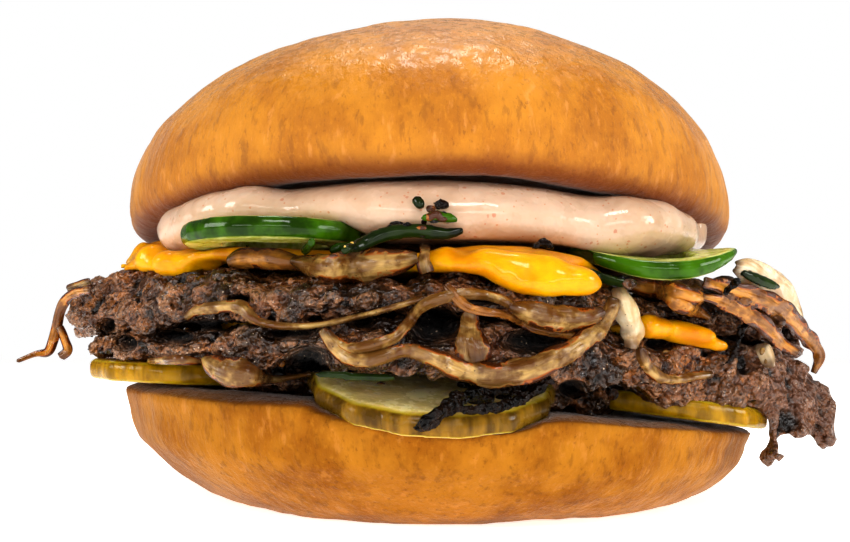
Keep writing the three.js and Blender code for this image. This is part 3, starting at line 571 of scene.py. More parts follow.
feed(tree, shader, color=base, normal=bump(tree, height, 2.4, 1.0))
dry = times(tree, gap, 0.9)
feed(tree, shader, rough=maths(tree, "MAXIMUM", dry, spread(tree, wet, 0.1, 0.8, 0.06, 0.3)))
fixed(shader, specular=0.75)
print("finish", meat.name)

# %% [markdown]
# ## The shape of the beef
# The beef was smashed on a hot plate, so it is a thin sheet of crumbs that fused: lumps of 3 to 8 mm, smaller
# crumbs on them, deep gaps between. One noise can't give that. Cells of two sizes give the rounded lumps with
# sharp gaps, and two cloud patterns roughen them.

# %% Patterns of the beef
nuggets = texture("nuggets", "VORONOI", 5.2, distance_metric="DISTANCE")
crumbs = texture("crumbs", "VORONOI", 2.1, distance_metric="DISTANCE")
billows = texture("billows", "CLOUDS", 3.4, noise_depth=3, noise_type="HARD_NOISE")
grit = texture("grit", "CLOUDS", 1.0, noise_depth=2, noise_type="HARD_NOISE")
print("patterns", [pattern.name for pattern in bpy.data.textures])

# %% [markdown]
# ## The lumps that the photo shows
# The largest lumps, the darkest gaps and the fingers of crust are where the photo has them, so they are listed.
# A lump is [u, v, half width, half height] in photo pixels, and where needed its depth in millimetres, the share of
# it that is sunk in, and its place in y. A gap has the same first four numbers. A sag is where the lower patty
# droops on the heel: its middle and its half sizes, in millimetres.

# %% Lumps, gaps and sags
LUMPS = {
    "patty_upper": [
        (690, 300, 20, 14), (718, 300, 16, 12), (740, 306, 13, 10), (78, 294, 12, 10), (98, 286, 15, 10),
        (124, 280, 16, 10), (88, 318, 20, 14), (113, 303, 13, 9), (148, 327, 20, 16), (142, 300, 15, 9),
        (172, 298, 14, 9), (198, 290, 14, 8), (224, 291, 14, 8), (252, 286, 15, 8), (279, 298, 18, 9),
        (312, 308, 17, 12), (336, 289, 13, 8), (368, 302, 26, 14), (402, 290, 12, 7), (540, 302, 16, 9),
        (570, 306, 17, 9), (668, 300, 15, 9), (706, 318, 16, 10), (748, 326, 14, 10), (782, 334, 14, 11)],
    "patty_lower": [
        (98, 348, 14, 11), (130, 356, 16, 9), (162, 351, 12, 8), (192, 347, 19, 10), (232, 346, 21, 11),
        (262, 336, 14, 11), (291, 342, 15, 11), (214, 333, 12, 8), (404, 366, 9, 13), (520, 352, 16, 10),
        (590, 352, 15, 12), (606, 376, 17, 13), (624, 356, 14, 11), (584, 386, 11, 9),
        (824, 428, 7, 12, 3, 0, -30), (826, 444, 6, 9, 3, 0, -30), (797, 428, 8, 11, 3, 0, -36),
        (776, 455, 8, 5, 2.5, 0, -42), (690, 352, 15, 10), (722, 362, 17, 11), (748, 380, 17, 12),
        (776, 390, 17, 13), (795, 366, 16, 13), (676, 396, 12, 6)],
}
GAPS = [
    (434, 327, 30, 22), (533, 343, 36, 14), (205, 326, 30, 6), (305, 362, 27, 17), (574, 390, 16, 10),
    (362, 322, 12, 8), (290, 335, 30, 6), (105, 326, 9, 8), (124, 344, 12, 9), (172, 338, 22, 8),
    (770, 310, 11, 7), (790, 333, 7, 10), (640, 330, 9, 9), (238, 300, 12, 5), (484, 300, 18, 6),
    (660, 345, 14, 7), (735, 342, 9, 7)]

SAGS = [
    (-27, -30, 22.2, 9, 12, 3.4), (-20, -32, 21.8, 7, 12, 3.4), (19, -32, 19.6, 8, 12, 3.4),
    (25, -30, 19, 7, 12, 3.4), (38, -38, 19.4, 7, 6, 2), (45, -36, 18.7, 7, 6, 2), (51, -32, 17.9, 6, 6, 2),
    (-20, 24, 22, 10, 12, 3.4), (24, 26, 19.4, 10, 12, 3.4), (-38, 0, 23, 9, 22, 3.2),
    (0, 30, 20.8, 14, 10, 3.4)]
print("lumps", sum(map(len, LUMPS.values())), "gaps", len(GAPS), "sags", len(SAGS))

# %% [markdown]
# ## Gaps and smooth fingers
# A gap could be cut with a boolean, which leaves sharp walls. Pressing the skin away from the camera keeps it
# soft. How far each point was pressed is stored, and the beef's material paints it nearly black, as painted
# shade. The fingers of crust at the right are fat that ran and set, so they are smoothed more than the rest.

# %% Press gaps and smooth a part
def sink(piece, deep):
    """Presses gaps into the front of a piece, and stores how far as the painted shade in them. The gaps are
    ellipses in photo pixels, deep is in millimetres.
    """
    points = points_of(piece)
    away = points - EYE
    depth = away @ AHEAD
    u = PICTURE_WIDTH / 2 + FOCAL_PIXELS * (away @ RIGHT) / depth
    v = PICTURE_HEIGHT / 2 - FOCAL_PIXELS * (away @ UPWARD) / depth
    pressed = np.zeros(len(points))
    for middle_u, middle_v, wide, high in GAPS:
        far = np.hypot((u - middle_u) / wide, (v - middle_v) / high)
        pressed = np.maximum(pressed, np.clip(1.5 * (1.1 - far), 0, 1))
    pressed *= np.clip(-points[:, 1] / 0.02, 0, 1)
    set_points(piece, points + np.outer(pressed * deep * MM, AHEAD))
    # How far each point was pressed is stored for the painted shade in the gaps.
    store(piece, "gap", pressed)

def smooth_part(piece, weights, rounds):
    """Smooths a piece by weights from 0 to 1, in ten steps."""
    part = piece.vertex_groups.new(name="part")
    for step in range(1, 11):
        chosen = np.flatnonzero(np.ceil(weights * 10) == step)
        part.add([int(i) for i in chosen], step / 10, "REPLACE")
    modify(piece, "SMOOTH", factor=0.5, iterations=rounds, vertex_group="part")
    piece.vertex_groups.clear()

# %% [markdown]
# ## The two patties
# The lumps and sags are joined to a copy of the solid, and one remesh makes a single skin of them. Then each
# pattern raises it, from large to small. The relief is measured before the gaps are pressed in.

# %% Two patties
FINGERS_FROM_X, FINGERS_BELOW_Z = 50 * MM, 19 * MM
solid_meat = tree_of(nodes["patty_upper"], nodes["patty_lower"])
for name in ("patty_lower", "patty_upper"):
    patty = copy_of(name)
    added = sum(join_lump(patty, solid_meat, *lump) for lump in LUMPS[name])
    for sag in (SAGS if name == "patty_lower" else ()):
        join_egg(patty, [s * MM for s in sag[:3]], [s * MM for s in sag[3:]])
    soft_skin(patty, voxel=0.68, rounds=5)
    raise_skin(patty, nuggets, height=-2.2, level=0.45)
    raise_skin(patty, billows, height=-1.9, level=0.3)
    raise_skin(patty, crumbs, height=-0.8, level=0.45)
    raise_skin(patty, grit, height=0.45)
    if name == "patty_lower":
        points = points_of(patty)
        aside = np.clip((points[:, 0] - FINGERS_FROM_X) / (8 * MM), 0, 1)
        below = np.clip((FINGERS_BELOW_Z - points[:, 2]) / (4 * MM), 0.3, 1)
        smooth_part(patty, aside * below, rounds=9)
    store_relief(patty, rounds=30)
    sink(patty, deep=6)
    serve(patty, meat)
    print(name, "lumps", added, "faces", served[patty.name])

# %% [markdown]
# ## The cheese
# A melted slice has no sharp edge left. It is smooth, a little translucent and glossy, and sags between the lumps
# under it. A clear coat gives the gloss, and some light is let into it.

# %% Cheese finish
cheese, tree, shader = material("melted_cheese")
place = here(tree)
cloudy = mottle(tree, place, 7, 0.8)
base = over(tree, cloudy, colour("d48600"), colour("eeae00"))
feed(tree, shader, color=base)
feed(tree, shader, rough=spread(tree, cloudy, 0, 1, 0.28, 0.4))
feed(tree, shader, normal=bump(tree, noise(tree, place, 4.0, 2.0), 0.3, 0.3))
fixed(shader, coat=0.4, coat_rough=0.06, specular=0.12, sss=0.2, sss_scale=0.003, sss_radius=(1, 0.5, 0.05))
print("finish", cheese.name)

# %% [markdown]
# ## The melted lips
# The edge of a slice runs down over the beef in thick lips. A soft-body run could melt it, but then the lips
# wouldn't be where the photo has them. So lumps are joined along the edge, and many rounds of smoothing turn
# them into one lip. A lump is [u, v, half width, half height] in photo pixels, and where needed its y.

# %% Melt the slices
MELT_DEEP = 2.2
DRIPS = {
    "cheese_upper": [
        (143, 252, 8, 10), (144, 261, 9, 9), (152, 256, 13, 12), (166, 262, 14, 11), (180, 265, 13, 10),
        (194, 262, 12, 9), (210, 266, 12, 6), (446, 255, 9, 9), (486, 260, 17, 11), (500, 265, 19, 14),
        (516, 270, 21, 17), (532, 273, 22, 19), (548, 275, 23, 19), (562, 277, 29, 18),
        (576, 281, 25, 14, -57.5), (588, 284, 14, 10, -56.5), (504, 277, 15, 8), (524, 284, 17, 9),
        (546, 288, 17, 9), (166, 267, 14, 8), (182, 269, 14, 7)],
    "cheese_lower": [
        (648, 326, 14, 12, -48), (659, 328, 14, 11, -46), (671, 330, 14, 10, -43), (684, 332, 14, 9, -43),
        (697, 334, 13, 7, -43), (708, 336, 9, 5, -43)],
}
for name in ("cheese_lower", "cheese_upper"):
    melted = copy_of(name)
    under = tree_of(nodes[name], *[bpy.data.objects[n + "_food"] for n in ("patty_upper", "patty_lower")])
    for blob in DRIPS[name]:
        join_lump(melted, under, *blob[:4], deep=MELT_DEEP, sunk=0.1, y=blob[4] if len(blob) > 4 else None)
    soft_skin(melted, voxel=0.5, rounds=60)
    swell(melted, height=0.5)
    serve(melted, cheese)
    print(name, served[melted.name])

# %% [markdown]
# ## The sauce
# A thick cream with paprika in it. It was squeezed on, and the bun pressed it out in one long smooth roll.

# %% Sauce finish
cream, tree, shader = material("paprika_cream")
place = here(tree)
cloudy = mottle(tree, place, 12, 0.8)
base = over(tree, cloudy, colour("c4a488"), colour("d2b69e"))
base = coated(
    tree, base,
    (times(tree, specks(tree, place, 1.2, 0.13), 0.45), "c4682c"),
    (times(tree, specks(tree, place, 3.0, 0.1), 0.45), "b85420"),
)
ripples = maths(tree, "ADD", noise(tree, place, 9.0, 2.0), times(tree, noise(tree, place, 2.2, 2.0), 0.2))
feed(tree, shader, color=base)
feed(tree, shader, rough=spread(tree, cloudy, 0, 1, 0.2, 0.3))
feed(tree, shader, normal=bump(tree, ripples, 2.2, 0.6))
fixed(shader, coat=0.5, coat_rough=0.06, specular=0.2, sss=0.25, sss_scale=0.003, sss_radius=(1, 0.6, 0.4))
print("finish", cream.name)

# %% [markdown]
# ## The roll of sauce
# The sauce bulges most at the left and at the right, where the bun presses hardest. These bulges are lumps of
# [u, v, half width, half height, depth] that the remesh joins to the roll. Smoothing then rounds it all.

# %% Sauce
BULGES = [
    (184, 231, 26, 25, 6), (202, 224, 30, 24, 6), (225, 216, 36, 24, 6), (255, 210, 40, 24, 5),
    (620, 226, 44, 31, 5), (650, 228, 36, 29, 5), (674, 233, 26, 22, 5), (692, 226, 16, 12, 4)]
sauce = copy_of("sauce")
squeezed = tree_of(nodes["sauce"], nodes["bun_top"])
for bulge in BULGES:
    join_lump(sauce, squeezed, *bulge, sunk=0.55)
soft_skin(sauce, voxel=0.8, rounds=60)
swell(sauce, height=0.6)
serve(sauce, cream)
print("sauce", served[sauce.name])

# %% [markdown]
# ## Fried onion
# Onion goes soft and glassy in the pan. Each piece is a curved sheet about a millimetre thick, and its thin edges
# burn first. A strip is therefore made as a flat grid that is laid along its route, made thick with Solidify and
# rounded by subdivision. The routes are read off the photo. A ray from the camera through each point finds the
# food that the strip lies on, and the strip bridges the gaps between the lumps, as a real one does.

# %% Curves and depths
def curve_through(knots, count):
    """Points spread evenly along a smooth curve through the knots."""
    knots = np.array(knots, dtype=float)
    ends = np.vstack([2 * knots[0] - knots[1], knots, 2 * knots[-1] - knots[-2]])
    spots = []
    for i in range(1, len(ends) - 2):
        p0, p1, p2, p3 = ends[i - 1:i + 3]
        for t in np.linspace(0, 1, 16, endpoint=False):
            spots.append(0.5 * (2 * p1 + (p2 - p0) * t + (2 * p0 - 5 * p1 + 4 * p2 - p3) * t ** 2
                                + (3 * p1 - p0 - 3 * p2 + p3) * t ** 3))
    spots = np.array(spots + [knots[-1]])
    steps = np.linalg.norm(np.diff(spots[:, :2], axis=0), axis=1)
    far = np.concatenate([[0], np.cumsum(steps)])
    even = np.linspace(0, far[-1], count)
    return np.stack([np.interp(even, far, spots[:, i]) for i in range(spots.shape[1])], axis=1)

def settle(depths, reach):
    """Depths of a strip that lies on the nearest lumps and bridges the gaps between them."""
    count = len(depths)
    near = np.array([depths[max(0, i - reach):i + reach + 1].min() for i in range(count)])
    for _ in range(reach * 2):
        near[1:-1] = 0.25 * near[:-2] + 0.5 * near[1:-1] + 0.25 * near[2:]
    return near

def found_depths(ground, route):
    """Depths along a route, each the nearest of three points across the strip."""
    across = np.gradient(route[:, :2], axis=0)[:, ::-1] * (1, -1)
    across /= np.linalg.norm(across, axis=1, keepdims=True)
    found = []
    for spot, aside in zip(route, across):
        places = [spot[:2] + aside * spot[2] * share for share in (-0.8, 0, 0.8)]
        found.append(np.nanmin([depth_at(ground, u, v, np.nan) for u, v in places]))
    found = np.array(found)
    known = np.isfinite(found)
    return settle(np.interp(np.arange(len(route)), np.flatnonzero(known), found[known]), 3)

# %% [markdown]
# ## One strip
# The edges of fried onion curl and ripple. Waves of several lengths, which start at places drawn by chance from a
# fixed seed, bend each row of the grid: a cup across, ripples along, ribs of the onion's fibres and frilled edges.
# The distance along the strip and from its edges is stored, so that fibres and burnt edges can follow it.

# %% Lay a strip
STRIP_COLUMNS = 11

def lay_strip(name, ground, knots, lift=0.4, cup=0.8, thick=0.45, twist=0.0, wave=0.6, deep=None, seed=1):
    """knots are [u, v, half width] in photo pixels; the other sizes are in millimetres."""
    route = curve_through(knots, max(12, int(len(knots) * 6)))
    rows = len(route)
    if deep is None:
        depths = found_depths(ground, route) - lift * MM
    else:
        depths = np.interp(np.linspace(0, 1, rows), np.linspace(0, 1, len(deep)), deep) * MM - EYE[1]
    bpy.ops.object.select_all(action="DESELECT")
    bpy.ops.mesh.primitive_grid_add(x_subdivisions=rows - 1, y_subdivisions=STRIP_COLUMNS - 1, size=1)
    strip = bpy.context.active_object
    strip.name = name + "_food"
    grid = points_of(strip) + 0.5
    dice = random.Random(seed)
    phases = [dice.uniform(0, 6.28) for _ in range(4)]
    way = np.gradient(route[:, :2], axis=0)
    way /= np.linalg.norm(way, axis=1, keepdims=True)
    places, strip_place = np.zeros_like(grid), np.zeros_like(grid)
    centre = np.array([EYE + ray(u, v) * d for (u, v, _), d in zip(route, depths)])
    along = np.concatenate([[0], np.cumsum(np.linalg.norm(np.diff(centre, axis=0), axis=1))])
    for i, (x, y, _) in enumerate(grid):
        row = int(round(x * (rows - 1)))
        side = y * 2 - 1
        pixel = depths[row] / FOCAL_PIXELS
        uneven = math.sin(along[row] / MM * 1.1 + phases[2] * (1 if side > 0 else 2))
        wide = route[row, 2] * pixel * (1 + 0.13 * wave * uneven)
        turn = math.radians(twist) * (x - 0.5) * 2
        out = (-way[row, 1] * RIGHT - way[row, 0] * UPWARD) * math.cos(turn) + AHEAD * math.sin(turn)
        frills = wave * min(1, wide / MM / 2.2)
        ripple = math.sin(along[row] / MM * 0.9 + phases[0]) * math.sin(along[row] / MM * 0.37 + phases[1])
        ribs = 0.14 * math.cos(side * (4 + 1.6 * wide / MM) + phases[3]) * min(1, 2 * (1 - abs(side)))
        frill = abs(side) ** 3 * math.sin(along[row] / MM * 1.3 + phases[2] + 2 * side)
        bulge = cup * (1 - side ** 2) - frills * ripple * side + ribs + 0.6 * frills * frill
        places[i] = centre[row] + out * side * wide - AHEAD * bulge * MM
        strip_place[i] = (along[row], side * wide, 0)
    set_points(strip, places)
    store(strip, "strip", strip_place)
    store(strip, "edge", np.abs(grid[:, 1] * 2 - 1))
    store(strip, "tip", np.minimum(strip_place[:, 0], along[-1] - strip_place[:, 0]) / MM)
    modify(strip, "SOLIDIFY", thickness=thick * MM, offset=0.0, use_even_offset=False)
    modify(strip, "SUBSURF", levels=1, render_levels=1)
    select_only(strip)
    bpy.ops.object.mode_set(mode="EDIT")
    bpy.ops.mesh.select_all(action="SELECT")
    bpy.ops.mesh.normals_make_consistent(inside=False)
    bpy.ops.object.mode_set(mode="OBJECT")
    return strip

# %% [markdown]
# ## Three looks of onion
# Onion is pale and soft where it only sweated, brown where it fried, and glassy where it is thick. The three
# looks share one net of nodes: fibres along the strip, cloudy patches, and edges that burn through amber to
# black. Only the colours and where the burning starts differ.

# %% Onion finishes
def onion_finish(name, pale, body, burnt, burn_from, clear):
    made, tree, shader = material(name)
    place, strip = here(tree), attribute(tree, "strip", "Vector")
    fibres = noise(tree, stretched(tree, strip, (0.08, 1, 1)), 0.55, 4.0, 0.6)
    broad = noise(tree, stretched(tree, strip, (0.25, 1, 1)), 2.4, 2.0)
    cloudy = mottle(tree, place, 5, 1.6)
    scorch = mottle(tree, place, 5, 1.8)
    edge = maths(tree, "ADD", attribute(tree, "edge"), spread(tree, scorch, 0, 1, -0.3, 0.22))
    base = over(tree, cloudy, colour(body), colour(pale))
    base = coated(
        tree, base,
        (spread(tree, fibres, 0.46, 0.6, 0, 0.3), body),
        (spread(tree, fibres, 0.44, 0.32, 0, 0.5), pale),
        (spread(tree, broad, 0.52, 0.62, 0, 0.6), burnt),
        (spread(tree, edge, burn_from, burn_from + 0.14, 0, 0.92), "a0500a"),
        (spread(tree, edge, burn_from + 0.12, burn_from + 0.26, 0, 0.85), "2a1004"),
        (spread(tree, attribute(tree, "tip"), 2.4, 0.0, 0, 0.75), "35160a"),
        (times(tree, specks(tree, place, 1.2, 0.1), 0.6), "2a1408"),
    )
    relief = maths(tree, "ADD", fibres, broad)
    feed(tree, shader, color=base, normal=bump(tree, relief, 0.4, 0.7))
    feed(tree, shader, rough=spread(tree, mottle(tree, place, 2.2, 1.6), 0, 1, 0.06, 0.22))
    fixed(shader, specular=0.5, sss=clear, sss_scale=0.002, sss_radius=(1, 0.6, 0.3))
    return made

pale_onion = onion_finish("soft_onion", "bc9a5c", "6c481a", "5a2e08", burn_from=0.66, clear=0.16)
brown_onion = onion_finish("browned_onion", "c88c38", "80501a", "542806", burn_from=0.56, clear=0.12)
clear_onion = onion_finish("glassy_onion", "ecd8bc", "d8be98", "b48a50", burn_from=1.3, clear=0.3)

def serve_onion(strip, finish):
    serve(strip, finish)

print("onions", pale_onion.name, brown_onion.name, clear_onion.name)

# %% [markdown]
# ## Pickles and peppers
# A pickle slice and a pepper ring are both a skin round a pale flesh. The skin faces outwards from the middle of
# the slice, so the direction of each point's normal tells skin from flesh.

# %% Skin and flesh
def store_skin(piece):
    points, normals = points_of(piece), normals_of(piece)
    low, high = points.min(axis=0), points.max(axis=0)
    out = points - (low + high) / 2
    out[:, 2] = 0
    size = np.linalg.norm(out, axis=1)
    out /= np.maximum(size, 1e-6)[:, None]
    store(piece, "skin", (out * normals).sum(axis=1))

# %% [markdown]
# ## Pickle slices
# A pickle has an olive rind with stripes down it, and a clear, wet flesh. Light goes deep into it, so the flesh
# glows where it is thin. The flesh of the front and back slices is painted much paler still, as painted light on
# tops that the patty shades. The slices at the sides get a yellower rind and a darker flesh.

# %% Pickles
def pickle_finish(name, rind_dark, rind, flesh_dark, flesh):
    made, tree, shader = material(name)
    place, skin = here(tree), attribute(tree, "skin")
    stripes = noise(tree, stretched(tree, place, (1, 1, 0.3)), 2.4, 3.0)
    cloudy = mottle(tree, place, 4, 1.0)
    outside = over(tree, spread(tree, stripes, 0.36, 0.66), colour(rind_dark), colour(rind))
    inside = over(tree, cloudy, colour(flesh_dark), colour(flesh))
    inside = over(tree, times(tree, specks(tree, place, 3.2, 0.2), 0.4), inside, colour("f0e6bc"))
    edge = times(tree, spread(tree, skin, 0.3, 0.5), spread(tree, skin, 0.8, 0.6))
    base = over(tree, spread(tree, skin, 0.4, 0.7), inside, outside)
    # Pale line where rind meets flesh: partly the rind's own, partly a painted highlight on the rounded edge.
    base = over(tree, times(tree, edge, 0.7), base, colour("b8a21e"))
    feed(tree, shader, color=base, normal=bump(tree, stripes, 0.6, 0.4))
    feed(tree, shader, rough=spread(tree, cloudy, 0, 1, 0.14, 0.34))
    fixed(shader, specular=0.25, sss=0.6, sss_scale=0.008, sss_radius=(1.0, 0.85, 0.15))
    return made

# The front and back slices get a much paler flesh: painted light on tops that the patty shades.
green_pickle = pickle_finish("pickle", "5a4008", "94701c", "e8cc88", "fae4a4")
yellow_pickle = pickle_finish("yellow_pickle", "806000", "b08600", "9c7a20", "b89630")
for name in ("pickle_front", "pickle_left", "pickle_right", "pickle_back", "pickle_back_left"):
    pickle = copy_of(name)
    soft_skin(pickle, voxel=0.5, rounds=8)
    store_skin(pickle)
    serve(pickle, green_pickle if name in ("pickle_front", "pickle_back") else yellow_pickle)
print("pickles", [served[n] for n in served if n.startswith("pickle")])

# %% [markdown]
# ## Green pepper
# Pepper has a waxy skin, which shows as a thin clear coat, and pale juicy flesh inside. Rings that lie loose are
# fresh and bright, and strips from the pan went dark. One net of nodes makes both.

# %% Green pepper
def pepper_finish(name, rind_dark, rind, inner):
    made, tree, shader = material(name)
    place, skin = here(tree), attribute(tree, "skin")
    cloudy = mottle(tree, place, 7, 1.0)
    green = over(tree, cloudy, colour(rind_dark), colour(rind))
    flesh = over(tree, mottle(tree, place, 2.5, 1.0), colour(inner), colour("d6dc8a"))
    base = over(tree, spread(tree, skin, 0.2, 0.6), flesh, green)
    feed(tree, shader, color=base, normal=bump(tree, noise(tree, place, 2.4, 2.0), 0.25, 0.5))
    feed(tree, shader, rough=spread(tree, cloudy, 0, 1, 0.14, 0.26))
    fixed(shader, coat=0.3, coat_rough=0.05, specular=0.1, sss=0.1, sss_scale=0.002, sss_radius=(0.4, 1, 0.1))
    return made

fresh_pepper = pepper_finish("fresh_pepper", "203a02", "447004", "a0ac30")
fried_pepper = pepper_finish("fried_pepper", "10180a", "26380c", "46561a")
print("peppers", fresh_pepper.name, fried_pepper.name)

# %% [markdown]
# ## Seed skin
# A pepper seed is a flat yellow disc with a dry skin, slightly darker in places. It is too small to need more.

# %% Pepper seeds
seed_skin, tree, shader = material("pepper_seed")
place = here(tree)
feed(tree, shader, color=over(tree, mottle(tree, place, 1.2, 1.2), colour("d2a848"), colour("ecd48e")))
feed(tree, shader, rough=spread(tree, mottle(tree, place, 1.5, 1.0), 0, 1, 0.25, 0.5))
fixed(shader, specular=0.3)
print("finish", seed_skin.name)

# %% [markdown]
# ## The rings and strips of pepper
# Two rings were cut at a slant, so they are thick at the front and thin at the sides. Their solids have an even
# thickness, and the slant is added here. A strip or a die shows its skin only, so it is green all over.

# %% Dress the peppers
def cut_slanting(ring):
    """Thins a ring towards its two sides, as a slanting cut does."""
    points = points_of(ring)
    low, high = points.min(axis=0), points.max(axis=0)
    middle, half = (low + high) / 2, (high - low) / 2
    aside = (points[:, 0] - middle[0]) / half[0]
    under = np.clip((high[2] - points[:, 2]) / (2 * half[2]), 0, 1)
    points[:, 2] += under * aside ** 2 * 1.15 * half[2]
    set_points(ring, points)

RINGS = ("jalapeno_left", "jalapeno_right", "jalapeno_back", "jalapeno_back_right")
for name in [n for n in nodes if n.startswith("jalapeno_")]:
    pepper = copy_of(name)
    soft_skin(pepper, voxel=0.4, rounds=14 if name in RINGS else 5)
    if name in ("jalapeno_right", "jalapeno_back"):
        cut_slanting(pepper)
    if name in RINGS:
        store_skin(pepper)
    else:
        store(pepper, "skin", np.ones(len(pepper.data.vertices)))
    fresh = name in (*RINGS, "jalapeno_cap", "jalapeno_dice_left", "jalapeno_dice_middle")
    serve(pepper, fresh_pepper if fresh else fried_pepper)
print("peppers", sum(n.startswith("jalapeno") for n in served))

# %% [markdown]
# ## The bed of onions
# Behind the strips that can be told apart lies a dark heap of onion. Hundreds of strips could fill it, but only
# its outside shows, in gaps. So it is one form with the lumps of the beef and streaks of onion, and its hollows
# are painted nearly black, as painted shade. More lumps are added at the right, where the heap shows most. Each
# is [u, v, half width, half height] in photo pixels, and its place in y in millimetres.

# %% Bed of onions
bed_finish, tree, shader = material("onion_mass")
place, relief = here(tree), attribute(tree, "relief")
grain = noise(tree, stretched(tree, place, (0.5, 0.5, 1)), 1.1, 4.0, 0.6)
patches = mottle(tree, place, 5, 1.4)
base = over(tree, patches, colour("3c2010"), colour("80542a"))
# Hollows are painted nearly black: painted shade.
base = over(tree, spread(tree, relief, -0.02, -0.35), base, colour("0a0402"))
feed(tree, shader, color=base, normal=bump(tree, grain, 0.6, 0.8))
feed(tree, shader, rough=spread(tree, grain, 0.3, 0.7, 0.2, 0.5))
fixed(shader, coat=0.3, coat_rough=0.1, specular=0.2)
SPILLS = [
    (694, 290, 13, 13, -47), (716, 295, 17, 9, -46), (738, 302, 15, 9, -43), (757, 310, 12, 9, -40),
    (775, 322, 10, 8, -38), (676, 300, 12, 12, -50), (700, 284, 17, 7, -43), (722, 285, 17, 7, -41),
    (742, 290, 12, 7, -39)]
bed = copy_of("onion_bed")
for *spill, y in SPILLS:
    join_lump(bed, None, *spill, deep=4, y=y)
soft_skin(bed, voxel=0.8, rounds=3)
raise_skin(bed, nuggets, height=-2.2, level=0.45)
raise_skin(bed, crumbs, height=-0.7, level=0.45)
store_relief(bed)
serve(bed, bed_finish)
print("onion_bed", served[bed.name])

# %% [markdown]
# ## The strips of the front
# Each strip is a row of points on the photo, with half its width there. Pale strips are soft onion, brown ones
# are burnt. Before the row stand the lift off the food and the cup across the strip, in millimetres. The lifts
# differ, so that strips can cross.

# %% Pale and brown strips
ground = tree_of(*[bpy.data.objects[name + "_food"] for name in (
    "patty_lower", "patty_upper", "onion_bed", "cheese_upper", "cheese_lower", "pickle_left", "pickle_front")])
FRONT = {
    "onion_slice_left": (pale_onion, 0.3, 0.4, [(148, 361, 2), (165, 360, 4), (185, 360, 4.5), (205, 362, 2)], {}),
    "onion_petal_left_low": (pale_onion, 0.5, 1.4, [
        (204, 357, 3), (214, 365, 11), (228, 371, 15), (244, 374, 14), (258, 377, 9), (272, 379, 4),
        (292, 377, 2), (312, 373, 1.5)], {}),
    "onion_petal_middle": (pale_onion, 0.4, 0.9, [
        (471, 307, 4), (470, 320, 9), (470, 334, 13), (472, 348, 17), (475, 362, 20)], {}),
    "onion_loop_front": (pale_onion, 0.8, 1.3, [
        (322, 329, 3), (330, 341, 5.5), (340, 352, 6.5), (354, 359, 7), (370, 360, 6.5), (386, 355, 6),
        (404, 351, 6), (422, 353, 7), (438, 360, 9), (456, 368, 10.5), (482, 374, 12), (508, 374, 13),
        (534, 368, 12.5), (560, 356, 11), (581, 343, 9.5), (598, 328, 9), (609, 313, 7.5), (614, 298, 5)],
        {"thick": 0.6, "wave": 0.8}),
    "onion_strand_curved": (pale_onion, 0.9, 0.9, [
        (326, 331, 4), (334, 341, 5), (345, 347, 5.5), (360, 348, 5.5), (378, 344, 5.5), (396, 336, 5.5),
        (407, 325, 5), (416, 312, 5), (430, 302, 5.5), (446, 297, 5.5), (464, 294, 5), (484, 295, 4.5),
        (504, 301, 4), (516, 309, 3)], {"wave": 0.6}),
    "onion_petal_front_right": (pale_onion, 0.7, 1.6, [
        (508, 306, 4), (520, 309, 8), (536, 314, 12), (556, 318, 13.5), (576, 319, 12), (592, 316, 9),
        (603, 311, 4)], {}),
    "onion_strand_brown": (brown_onion, 1.5, 0.4, [
        (445, 284, 2.5), (452, 292, 4), (460, 301, 5), (470, 308, 4), (486, 312, 3.5), (502, 314, 3),
        (516, 320, 3), (534, 329, 3), (558, 334, 3), (580, 335, 3), (596, 327, 2.5), (606, 316, 2)],
        {"wave": 0.4}),
    "onion_strand_left": (pale_onion, 0.8, 0.8, [
        (186, 318, 3), (197, 310, 5), (214, 308, 5.5), (230, 306, 6), (243, 308, 7), (252, 317, 5),
        (264, 323, 3.2), (284, 326, 2.8), (306, 326, 2.5), (330, 323, 2.2), (356, 317, 2), (380, 311, 2),
        (404, 304, 2), (424, 298, 1.6)], {"wave": 0.3}),
    "onion_petal_right_middle": (clear_onion, 0.9, 1.8, [
        (617, 287, 5), (621, 298, 9), (626, 311, 11), (631, 325, 11.5), (632, 338, 10), (630, 348, 5)],
        {}),
    "onion_strand_low_right": (pale_onion, 0.7, 0.8, [
        (640, 347, 3.5), (643, 358, 5.5), (650, 370, 6), (662, 378, 5), (678, 379, 4.5), (694, 376, 4),
        (712, 374, 3)], {}),
    "onion_petal_front": (pale_onion, 0.9, 2.4, [
        (292, 261, 3), (306, 264, 9), (324, 267, 13), (346, 267, 16), (370, 265, 16), (392, 262, 13),
        (408, 260, 9), (418, 258, 4)], {}),
    "onion_petal_left": (brown_onion, 0.8, 1.9, [
        (229, 262, 5), (240, 259, 9), (256, 258, 10.5), (272, 259, 10), (288, 261, 9), (303, 264, 5)], {}),
    "onion_curl_front": (pale_onion, 0.9, 0.8, [
        (427, 238, 8), (425, 247, 6), (425, 255, 4.5), (424, 263, 7), (427, 273, 9)], {"twist": 40}),
    "onion_petal_right": (brown_onion, 0.8, 1.2, [
        (628, 284, 6), (644, 287, 9), (662, 290, 10), (682, 294, 10), (702, 299, 6)], {}),
    "onion_petal_olive": (brown_onion, 0.7, 1.0, [
        (664, 296, 5), (676, 301, 9), (690, 307, 9), (700, 313, 6), (708, 318, 3)], {}),
    "onion_bit_right": (clear_onion, 0.9, 1.6, [(760, 343, 4), (763, 350, 8), (767, 358, 8), (770, 366, 4)], {}),
}
for number, (name, (finish, lift, cup, knots, more)) in enumerate(FRONT.items()):
    strip = lay_strip(name, ground, knots, lift=lift, cup=cup, seed=number, **more)
    serve_onion(strip, finish)
print("front strips", len(FRONT), [served[n + "_food"] for n in FRONT][:4])

